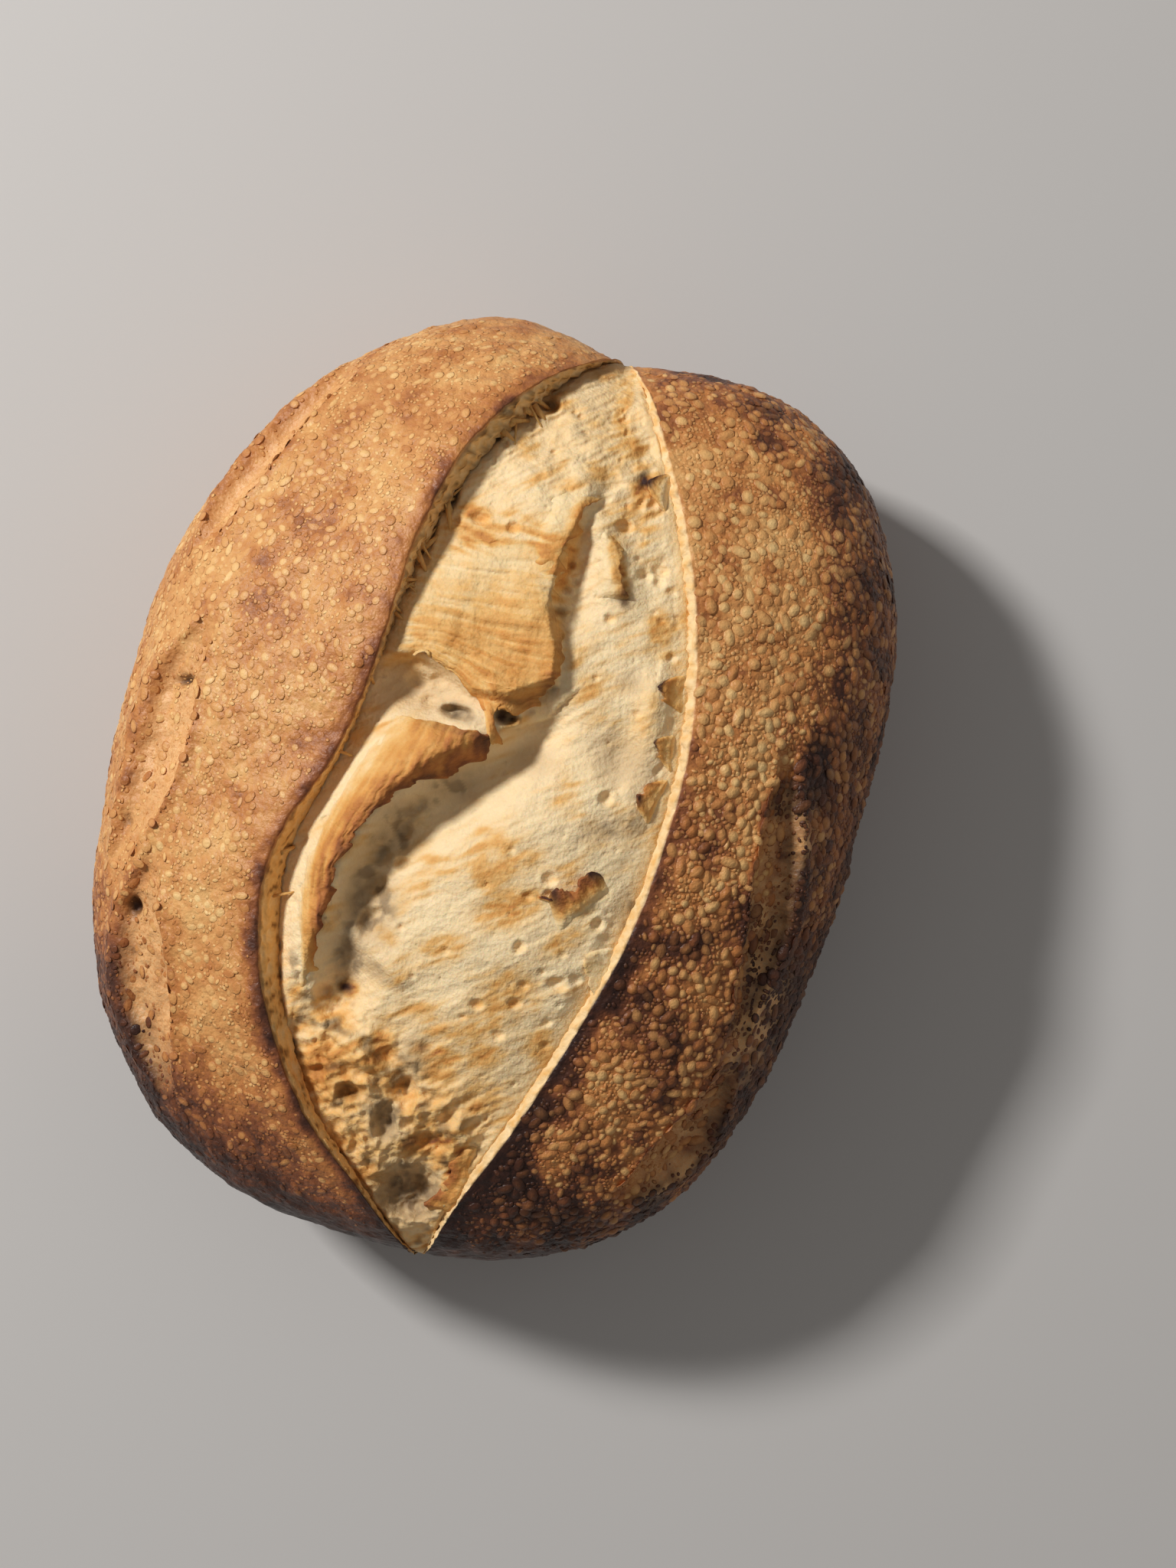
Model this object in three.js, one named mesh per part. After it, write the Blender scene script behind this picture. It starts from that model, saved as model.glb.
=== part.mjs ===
// A sourdough loaf: a broad oval hearth loaf that stands on its flat base. One deep cut runs over it from
// end to end and has burst wide open, with a raised ear along its left lip and torn crumb between the lips.
// Leaf shaped cuts run along both flanks. Millimetres, +Z up, +Y towards the loaf's far end.
import * as THREE from "three";

const { clamp, degToRad, lerp, smoothstep } = THREE.MathUtils;

// Driving dimensions of the baked body.
const BELLY_HEIGHT = 42; // where the loaf is widest
const CROWN_HEIGHT = 97; // the top of the loaf, as if it had not burst
const SEAM_X = 11; // the long cut, right of the middle
const FAR_REACH = 110; // from the middle to the end of the cut at the far end
const NEAR_REACH = 121; // the same at the near end
const CROWN_BLUNT = 2.6; // how square the loaf is from the side
const SECTION_BLUNT = 2.35; // how square it is across, above the belly
const UNDER_BLUNT = 2.6; // and below the belly
const BASE_SINK = 1.45; // how far the base would bulge past the flat that it was baked on
const NOTCH_SPREAD = degToRad(11); // how far the cut's dip spreads over the far end
const LEAST_HEEL = degToRad(12); // the base's edge near the ends, as an angle up from the middle of the base

// Each side of the cut: its width, its length to each end, how square its quarters are, how much it leans
// out towards the far end, the dip at that end and where its lip runs, as a share of the width at even steps
// from the near end to the far end.
const LEFT = {
  way: -1,
  width: 105.5,
  far: 122,
  near: NEAR_REACH,
  farBlunt: 2.1,
  nearBlunt: 2.75,
  lean: 0,
  notch: 12,
  lip: [0.1, 0.14, 0.24, 0.4, 0.505, 0.53, 0.43, 0.39, 0.4, 0.375, 0.3, 0.17, 0.08],
};
const RIGHT = {
  way: 1,
  width: 83.5,
  far: 113,
  near: NEAR_REACH,
  farBlunt: 2.9,
  nearBlunt: 2.6,
  lean: 0.035,
  notch: 3,
  lip: [0.05, 0.06, 0.1, 0.205, 0.31, 0.395, 0.428, 0.413, 0.352, 0.262, 0.18, 0.12, 0.08],
};

// The ear and the walls of the cut, at even steps from the near end to the far end.
const EAR_LIFT = [0, 0.5, 2, 3.5, 4, 3.5, 3, 5, 7, 7, 5, 2, 0];
const EAR_WIDTH = 15; // how far back from the lip the crust lifts
const WALL_RUN = [0.4, 1, 2, 3.5, 5, 4.5, 1.5, 1.2, 3, 5, 5, 2.5, 0.4]; // how far the cut face slopes in
const WALL_DROP = [1, 2, 4, 6, 8, 8, 7, 8, 9, 9, 8, 4, 1]; // and down
const UNDERCUT = [0, 0.5, 1.5, 2.5, 3.5, 4, 4, 4, 4, 3.5, 2.5, 1, 0]; // how far the crumb goes in under it
const UNDERCUT_DROP = 2;
const LIP_ROUND = 1.2;
const RIGHT_RUN = 2.2; // the pale cut face inside the right lip
const RIGHT_DROP = 2.4;
const CRUMB_SINK = 3.5; // the crumb below the crown that the loaf would have had
const CRUMB_ROUND = 30; // how far from the end of the cut the crumb's relief fades
const CRUMB_ROOT = 0.22; // the share of the gap over which the crumb climbs out from under the ear
const CRUMB_EDGE = 0.07; // the share beside the right lip that stays smooth
const CRUMB_WAVES = 0.6; // the crumb's own unevenness, as a share of the crust's
const NARROW_GAP = 40; // the walls shrink where the lips are closer than this

// Torn ridges and hollows of the crumb, as paths over the loaf, with the height and the width on either side,
// the first on the left of the path when looking along it.
const SPINE = {
  path: [[2, 11], [-10, 4], [-20, -7], [-27, -24], [-30, -44], [-31, -62]],
  height: 8,
  widths: [4, 9],
};
const GULLY = { path: [[11, 15], [-2, -4], [-14, -18], [-21, -34], [-22, -58]], height: -7, widths: [8, 6] };
const RIDGES = [
  SPINE,
  GULLY,
  { path: [[16, 64], [19, 56], [23, 48]], height: 3, widths: [4.5, 5] },
  { path: [[13, 58], [14, 40]], height: -2.5, widths: [4, 4] },
  { path: [[36, 30], [37, 16], [36, 2]], height: 2.6, widths: [5, 3.5] },
  { path: [[-25, -41], [-16, -45], [-8, -50]], height: 3.5, widths: [4, 3] },
  { path: [[14, -86], [16, -98]], height: 2.5, widths: [4, 4] },
  { path: [[-16, -68], [2, -84]], height: 2.5, widths: [4, 5] },
];
const FLAP_EDGE = [[12, 72], [8, 54], [8, 43], [12, 34], [13, 26], [3, 20], [-7, 17]]; // the torn skin's edge
const FLAP_HEIGHT = 4.5;
const FLAP_CLIFF = 5; // the width of its edge
const FLAP_FADE = 26; // how far back from the edge it blends in

// Round hollows and swells of the crumb: centre, radii and height.
const SWELLS = [
  { at: [-18, 17], radii: [11, 5], height: -5 },
  { at: [18, -28], radii: [22, 34], height: 2.5 },
  { at: [9, -94], radii: [9, 8], height: -5 },
  { at: [-3, -78], radii: [5, 7], height: -3 },
  { at: [32, 12], radii: [8, 6], height: -2.4 },
  { at: [-20, -56], radii: [7, 6], height: -3 },
];

// Leaf shaped cuts along a flank, as paths over the loaf from the far end to the near end, and half their
// width.
const LEAVES = [
  { side: LEFT, path: [[-54, 94], [-66, 75], [-76, 53], [-80, 38]], half: 4 },
  { side: LEFT, path: [[-71, 23], [-77, 8], [-77, -8], [-79, -25], [-83, -41]], half: 6.5 },
  { side: LEFT, path: [[-72, -33], [-73, -50], [-69, -66], [-64, -80], [-58, -93]], half: 6.5 },
  { side: RIGHT, path: [[70, 24], [73, 0], [76, -24], [74, -51]], half: 5 },
  { side: RIGHT, path: [[75, -54], [71, -69], [64, -82], [55, -94]], half: 5 },
];
const LEAF_DEPTH = 3.2;
const LEAF_RIM = 1.4;
const LEAF_TIP = 2.5; // half the width of its ends
const WOBBLE = 1.1; // the unevenness of the hand shaped crust

// How finely the solid is cut into facets.
const STATIONS = 82;
const STEPS = { base: 3, wall: 5, leftCrown: 15, crumb: 25, rightCrown: 12 };

const QUARTER = Math.PI / 2;

// A smooth curve through even steps, read at a share from 0 to 1.
function along(values, share) {
  const place = clamp(share, 0, 1) * (values.length - 1);
  const index = Math.min(Math.floor(place), values.length - 2);
  const rest = place - index;
  const at = (step) => values[clamp(index + step, 0, values.length - 1)];
  const [here, next] = [at(0), at(1)];
  const slopes = [(next - at(-1)) / 2, (at(2) - here) / 2];
  const blend = rest * rest * (3 - 2 * rest);
  const bend = rest * (1 - rest) * ((1 - rest) * slopes[0] - rest * slopes[1]);
  return lerp(here, next, blend) + bend;
}

const shareOf = (turn) => (turn + QUARTER) / Math.PI;

// The distance from the middle to the outline seen from above, on one side, in a direction.
function outlineRadius(side, turn) {
  const far = turn > 0;
  const blunt = far ? side.farBlunt : side.nearBlunt;
  const reach = far ? side.far : side.near;
  const [across, length] = [Math.abs(Math.cos(turn)) / side.width, Math.abs(Math.sin(turn)) / reach];
  const radius = (across ** blunt + length ** blunt) ** (-1 / blunt) * (1 + side.lean * Math.sin(2 * turn));
  return far ? radius - side.notch * Math.exp(-(((QUARTER - turn) / NOTCH_SPREAD) ** 2)) : radius;
}

const halfWidth = (side, turn) => outlineRadius(side, turn) * Math.cos(turn);

// How high the crown rises over the belly.
const crownRise = (turn) => (CROWN_HEIGHT - BELLY_HEIGHT) * Math.cos(turn) ** (2 / CROWN_BLUNT);

// A place seen from above: a share of the way from the long cut out to one side's outline.
function planPoint(side, turn, share) {
  const middle = (turn > 0 ? FAR_REACH : NEAR_REACH) * Math.sin(turn);
  const edge = outlineRadius(side, turn) * Math.sin(turn);
  return [SEAM_X + side.way * halfWidth(side, turn) * share, lerp(middle, edge, share)];
}

// Long soft waves that keep the crust from being regular.
function wobble(x, y, z) {
  return (
    WOBBLE *
    (0.5 * Math.sin(x / 17 + y / 29 + 0.6) * Math.cos(z / 19 - y / 23) +
      0.3 * Math.sin(y / 9.5 + x / 31 + 2.1) * Math.sin(z / 13 + x / 15) +
      0.2 * Math.sin(x / 7.3 - y / 6.1 + z / 8.7))
  );
}

// How deep the leaf cuts are at a place on the flank, seen from above, with a raised rim on their outer side.
function leafRelief(side, x, y) {
  let relief = 0;
  for (const leaf of LEAVES.filter((one) => one.side === side)) {
    const near = nearestOnPath(leaf.path, x, y);
    const fade = Math.sin(Math.PI * near.share) ** 0.7;
    const inward = near.left === (side === LEFT) ? 1 : -1;
    const across = (inward * near.distance) / Math.max(leaf.half * fade, LEAF_TIP);
    const inside = smoothstep(across, -1.3, -0.4) * (1 - smoothstep(across, -0.3, 1.3));
    const rim = Math.exp(-(((across + 1.6) / 0.6) ** 2));
    relief += fade * (LEAF_RIM * rim - LEAF_DEPTH * inside);
  }
  return relief;
}

// A point of the crust on one side. The angle runs from 0 under the middle, round the flank, to half a turn
// on top.
function crustPoint(side, turn, angle) {
  const upper = angle > QUARTER;
  const blunt = upper ? SECTION_BLUNT : UNDER_BLUNT;
  const share = Math.abs(Math.sin(angle)) ** (2 / blunt);
  const rise = Math.abs(Math.cos(angle)) ** (2 / blunt);
  let [x, y] = planPoint(side, turn, share);
  let z = upper
    ? BELLY_HEIGHT + crownRise(turn) * rise
    : BELLY_HEIGHT * (1 - BASE_SINK * rise * Math.sqrt(Math.cos(turn)));
  const leaves = upper ? leafRelief(side, x, y) : 0;
  const relief = (wobble(x, y, z) + leaves) * smoothstep(Math.cos(turn), 0, 0.3);
  const flank = upper ? 1 : smoothstep(z, 0, BELLY_HEIGHT / 2);
  x += side.way * Math.sin(angle) * Math.cos(turn) * relief * flank;
  y += Math.sin(turn) * relief * flank;
  z += Math.max(0, -Math.cos(angle)) * Math.cos(turn) * relief * flank;
  if (side === LEFT && upper) z += earLift(turn, share);
  return new THREE.Vector3(x, y, Math.max(0, z));
}

// How far the crust lifts towards the ear's edge.
function earLift(turn, share) {
  const back = (share - along(LEFT.lip, shareOf(turn))) * halfWidth(LEFT, turn);
  return along(EAR_LIFT, shareOf(turn)) * Math.exp(-((back / EAR_WIDTH) ** 2));
}

// The angle at which one side's crust ends in its lip.
const lipAngle = (side, turn) => Math.PI - Math.asin(along(side.lip, shareOf(turn)) ** (SECTION_BLUNT / 2));

// The nearest place on a path: how far away it is, on which side, and how far along as a share.
function nearestOnPath(path, x, y) {
  let best = { distance: Infinity, left: true, share: 0 };
  for (let i = 0; i + 1 < path.length; i++) {
    const [ax, ay] = path[i];
    const [dx, dy] = [path[i + 1][0] - ax, path[i + 1][1] - ay];
    const part = clamp(((x - ax) * dx + (y - ay) * dy) / (dx * dx + dy * dy), 0, 1);
    const [ox, oy] = [x - ax - part * dx, y - ay - part * dy];
    const distance = Math.hypot(ox, oy);
    if (distance < best.distance)
      best = { distance, left: dx * oy - dy * ox > 0, share: (i + part) / (path.length - 1) };
  }
  return best;
}

// The torn relief of the crumb at a place seen from above.
function crumbRelief(x, y) {
  let relief = 0;
  for (const ridge of RIDGES) {
    const near = nearestOnPath(ridge.path, x, y);
    const width = ridge.widths[near.left ? 0 : 1];
    relief += ridge.height * Math.exp(-((near.distance / width) ** 2)) * (1 - 0.5 * near.share ** 2);
  }
  for (const swell of SWELLS) {
    const [u, v] = [(x - swell.at[0]) / swell.radii[0], (y - swell.at[1]) / swell.radii[1]];
    relief += swell.height * Math.exp(-(u * u + v * v));
  }
  const edge = nearestOnPath(FLAP_EDGE, x, y);
  const back = edge.left ? -edge.distance : edge.distance;
  const flap = smoothstep(back, -FLAP_CLIFF / 2, FLAP_CLIFF / 2);
  relief += FLAP_HEIGHT * flap * Math.exp(-((edge.distance / FLAP_FADE) ** 2));
  return relief + CRUMB_WAVES * wobble(2 * x, 2.3 * y, 0);
}

// A point of the crumb between its left root and the right lip, at a given distance across the loaf.
function crumbPoint(turn, x, sink) {
  const side = x < SEAM_X ? LEFT : RIGHT;
  const share = clamp(Math.abs(x - SEAM_X) / Math.max(halfWidth(side, turn), 1e-3), 0, 1);
  const [, y] = planPoint(side, turn, share);
  const uncut = BELLY_HEIGHT + crownRise(turn) * (1 - share ** SECTION_BLUNT) ** (1 / SECTION_BLUNT);
  return new THREE.Vector3(x, y, uncut - sink);
}

// The angle at which the flat base ends.
function heelAngle(turn) {
  const rise = 1 / (BASE_SINK * Math.sqrt(Math.cos(turn)));
  return Math.max(LEAST_HEEL, rise < 1 ? Math.acos(rise ** (UNDER_BLUNT / 2)) : 0);
}

// The closed outline of the loaf at one station, clockwise when looking from the near end.
function section(turn) {
  const share = shareOf(turn);
  const fade = smoothstep(Math.cos(turn), 0, CRUMB_ROUND / NEAR_REACH);
  const points = [];
  const sweep = (side, from, to, steps, last) => {
    for (let i = 0; i < steps + (last ? 1 : 0); i++)
      points.push(crustPoint(side, turn, lerp(from, to, i / steps)));
  };
  const heel = heelAngle(turn);
  const [leftLip, rightLip] = [lipAngle(LEFT, turn), lipAngle(RIGHT, turn)];
  sweep(LEFT, 0, heel, STEPS.base);
  sweep(LEFT, heel, QUARTER, STEPS.wall);
  sweep(LEFT, QUARTER, leftLip, STEPS.leftCrown, true);

  const edge = points.at(-1);
  const rightEdge = crustPoint(RIGHT, turn, rightLip);
  const gap = rightEdge.x - edge.x;
  const scale = Math.min(1, gap / NARROW_GAP);
  const run = along(WALL_RUN, share) * scale;
  const drop = along(WALL_DROP, share) * fade;
  const under = along(UNDERCUT, share) * scale;
  points.push(new THREE.Vector3(edge.x + LIP_ROUND * scale, edge.y, edge.z - LIP_ROUND * fade));
  points.push(new THREE.Vector3(edge.x + run, edge.y, edge.z - drop));
  const root = edge.x + run - under;
  const rootDepth = crumbPoint(turn, root, 0).z - (edge.z - drop - UNDERCUT_DROP * fade);
  const rightFoot = rightEdge.x - RIGHT_RUN * scale;
  for (let i = 0; i <= STEPS.crumb; i++) {
    const v = i / STEPS.crumb;
    const x = lerp(root, rightFoot, v);
    const rest = lerp(CRUMB_SINK, RIGHT_DROP, v) * fade;
    const sink = lerp(rootDepth, rest, smoothstep(v, 0, CRUMB_ROOT));
    const point = crumbPoint(turn, x, sink);
    const inside = smoothstep(v, 0, CRUMB_ROOT / 2) * smoothstep(1 - v, 0, CRUMB_EDGE) * fade;
    point.z += inside * crumbRelief(point.x, point.y);
    points.push(point);
  }
  sweep(RIGHT, rightLip, QUARTER, STEPS.rightCrown);
  sweep(RIGHT, QUARTER, heel, STEPS.wall);
  sweep(RIGHT, heel, 0, STEPS.base);
  return points;
}

// Joins the stations into one closed skin, with a point at each end of the long cut.
function loafGeometry() {
  const turns = Array.from({ length: STATIONS }, (_, i) => lerp(-QUARTER, QUARTER, (i + 1) / (STATIONS + 1)));
  const rings = turns.map(section);
  const around = rings[0].length;
  const near = new THREE.Vector3(SEAM_X, -NEAR_REACH, BELLY_HEIGHT);
  const far = new THREE.Vector3(SEAM_X, FAR_REACH, BELLY_HEIGHT);
  const points = [...rings.flat(), near, far];
  const faces = [];
  for (let i = 0; i < around; i++) {
    const next = (i + 1) % around;
    for (let ring = 0; ring + 1 < rings.length; ring++) {
      const [a, b] = [ring * around + i, ring * around + next];
      faces.push(a, b, b + around, a, b + around, a + around);
    }
    const last = (rings.length - 1) * around;
    faces.push(points.length - 2, next, i, points.length - 1, last + i, last + next);
  }
  const geometry = new THREE.BufferGeometry().setFromPoints(points).setIndex(faces);
  geometry.computeBoundingBox();
  const middle = geometry.boundingBox.getCenter(new THREE.Vector3());
  return geometry.translate(-middle.x, -middle.y, 0);
}

const crust = new THREE.MeshStandardMaterial({ color: 0xb98248, roughness: 0.75, metalness: 0 });
const loaf = new THREE.Mesh(loafGeometry(), crust);
loaf.name = "loaf";

const bread = new THREE.Group();
bread.add(loaf);

export default bread;
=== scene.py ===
"""Dresses the sourdough loaf: its blistered crust, the torn crumb of its burst cut and the skins over it.

The form is worked out in millimetres from the same driving dimensions as the solid. Each mesh is written in
metres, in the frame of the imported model.
"""

import logging
import math
from collections.abc import Callable, Sequence
from dataclasses import dataclass, field
from enum import Enum
from functools import cached_property

import bmesh
import bpy
import numpy as np
from bpy.types import Material, Mesh, Node, NodeSocket, NodeTree, Object
from mathutils import Matrix, Vector
from numpy.typing import NDArray


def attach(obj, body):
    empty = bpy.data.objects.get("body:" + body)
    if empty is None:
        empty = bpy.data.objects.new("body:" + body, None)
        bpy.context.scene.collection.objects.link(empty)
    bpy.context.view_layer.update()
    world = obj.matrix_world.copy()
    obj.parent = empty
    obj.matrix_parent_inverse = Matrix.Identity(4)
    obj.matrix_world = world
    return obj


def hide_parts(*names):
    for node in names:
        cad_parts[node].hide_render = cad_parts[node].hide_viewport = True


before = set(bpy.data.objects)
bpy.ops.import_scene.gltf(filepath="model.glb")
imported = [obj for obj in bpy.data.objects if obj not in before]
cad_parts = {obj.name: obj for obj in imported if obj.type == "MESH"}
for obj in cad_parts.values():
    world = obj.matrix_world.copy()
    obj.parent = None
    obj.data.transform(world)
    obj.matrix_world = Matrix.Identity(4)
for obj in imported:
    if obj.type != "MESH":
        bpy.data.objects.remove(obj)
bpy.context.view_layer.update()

Array = NDArray[np.float64]
Pair = tuple[float, float]
Path = tuple[Pair, ...]

LOG = logging.getLogger("loaf")
MM = 0.001
QUARTER = math.pi / 2
NODE = "loaf"
BODY = "root"
# How much a closed skin's rows crowd towards its ends, and how far across the loaf its cut is looked up.
END_CROWDING = 0.6
OVER_CUT = (-90.0, 85.0)


def lerp(start: Array | float, end: Array | float, share: Array | float) -> Array | float:
    """Returns the value at a share of the way from start to end."""
    return start + (end - start) * share


def smooth(value: Array | float, low: float, high: float) -> Array:
    """Returns a soft step from 0 at low to 1 at high."""
    share = np.clip((value - low) / (high - low), 0.0, 1.0)
    return share * share * (3.0 - 2.0 * share)


def bell(distance: Array | float, width: Array | float) -> Array:
    """Returns a soft hump of height 1 that fades over a width."""
    return np.exp(-((distance / width) ** 2))


def plateau(value: Array | float, rise: Pair, fall: Pair) -> Array:
    """Returns 1 between a soft rise and a soft fall, and 0 beyond them."""
    return smooth(value, *rise) * (1.0 - smooth(value, *fall))


def along(values: Sequence[float], share: Array | float) -> Array:
    """Reads a smooth curve through even steps.

    Args:
        values: The curve's values at even steps.
        share: Where to read it, from 0 at the first value to 1 at the last.

    Returns:
        The curve's values there.
    """
    steps = np.asarray(values, float)
    last = len(steps) - 1
    place = np.clip(share, 0.0, 1.0) * last
    index = np.minimum(np.floor(place).astype(int), last - 1)
    rest = place - index
    here, following = steps[index], steps[index + 1]
    before, after = steps[np.maximum(index - 1, 0)], steps[np.minimum(index + 2, last)]
    blend = rest * rest * (3.0 - 2.0 * rest)
    bend = rest * (1.0 - rest) * ((1.0 - rest) * (following - before) - rest * (after - here)) / 2.0
    return lerp(here, following, blend) + bend


@dataclass(frozen=True)
class Nearest:
    """The nearest place on a path: how far away, on which side the point is, and how far along."""

    distance: Array
    left: Array
    share: Array


def nearest_on_path(path: Path, x: Array, y: Array) -> Nearest:
    """Finds the nearest place on a path of straight runs.

    Args:
        path: The path's corners.
        x: The points' places across the loaf.
        y: The points' places along the loaf.

    Returns:
        The distance, side and share along the path of each point.
    """
    best = np.full(np.shape(x), np.inf)
    left = np.ones(np.shape(x), bool)
    share = np.zeros(np.shape(x))
    for index, ((ax, ay), (bx, by)) in enumerate(zip(path, path[1:])):
        dx, dy = bx - ax, by - ay
        part = np.clip(((x - ax) * dx + (y - ay) * dy) / (dx * dx + dy * dy), 0.0, 1.0)
        ox, oy = x - ax - part * dx, y - ay - part * dy
        distance = np.hypot(ox, oy)
        closer = distance < best
        best = np.where(closer, distance, best)
        left = np.where(closer, dx * oy - dy * ox > 0.0, left)
        share = np.where(closer, (index + part) / (len(path) - 1), share)
    return Nearest(best, left, share)


class Noise:
    """Seeded smooth noise between about -1 and 1, worked out for whole arrays of places."""

    CELLS = 256
    GAIN = 1.7
    LAYER_SHIFT = 7.3

    def __init__(self, seed: int) -> None:
        """Draws the noise's slopes from a seed."""
        draw = np.random.default_rng(seed)
        self.order = np.tile(draw.permutation(self.CELLS), 3)
        slopes = draw.normal(size=(self.CELLS, 3))
        self.slopes = slopes / np.linalg.norm(slopes, axis=1, keepdims=True)

    def at(self, x: Array, y: Array, z: Array | float = 0.0) -> Array:
        """Returns the noise at each place."""
        place = np.stack(np.broadcast_arrays(x, y, z), axis=-1).astype(float)
        cell = np.floor(place).astype(int)
        part = place - cell
        ease = part**3 * (part * (part * 6.0 - 15.0) + 10.0)
        total = np.zeros(place.shape[:-1])
        for corner in np.ndindex(2, 2, 2):
            i, j, k = np.moveaxis((cell + corner) % self.CELLS, -1, 0)
            slope = self.slopes[self.order[self.order[self.order[i] + j] + k]]
            weight = np.prod(np.where(np.array(corner) == 1, ease, 1.0 - ease), axis=-1)
            total += weight * ((part - corner) * slope).sum(axis=-1)
        return self.GAIN * total

    def layered(self, x: Array, y: Array, z: Array | float = 0.0, layers: int = 3) -> Array:
        """Returns the noise with finer and weaker layers added."""
        total = 0
        for layer in range(layers):
            finer = 2**layer
            slice_z = np.asarray(z) * finer + self.LAYER_SHIFT * layer
            total = total + self.at(x * finer, y * finer, slice_z) / finer
        return total


@dataclass(frozen=True)
class Side:
    """One side of the long cut, as in the solid."""

    way: float
    width: float
    far: float
    near: float
    far_blunt: float
    near_blunt: float
    lean: float
    notch: float
    lip: tuple[float, ...]


LEFT = Side(
    way=-1.0,
    width=105.5,
    far=122.0,
    near=121.0,
    far_blunt=2.1,
    near_blunt=2.75,
    lean=0.0,
    notch=12.0,
    lip=(0.1, 0.14, 0.24, 0.4, 0.505, 0.53, 0.43, 0.39, 0.4, 0.375, 0.3, 0.17, 0.08),
)
RIGHT = Side(
    way=1.0,
    width=83.5,
    far=113.0,
    near=121.0,
    far_blunt=2.9,
    near_blunt=2.6,
    lean=0.035,
    notch=3.0,
    lip=(0.05, 0.06, 0.1, 0.205, 0.31, 0.395, 0.428, 0.413, 0.352, 0.262, 0.18, 0.12, 0.08),
)


@dataclass(frozen=True)
class Leaf:
    """A leaf shaped cut along a flank: its path from the far end to the near end and half its width."""

    side: Side
    path: Path
    half: float


@dataclass(frozen=True)
class Ridge:
    """A torn ridge of the crumb with a width on either side, or a hollow where its height is negative."""

    path: Path
    height: float
    widths: Pair


@dataclass(frozen=True)
class Swell:
    """A round swell or hollow of the crumb."""

    at: Pair
    radii: Pair
    height: float


@dataclass(frozen=True)
class CutKeys:
    """The places across the cut at each station: lips, cut faces and the edges of the crumb."""

    edge: Array
    wall: Array
    root: Array
    foot: Array
    right_edge: Array
    fade: Array
    scale: Array


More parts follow.
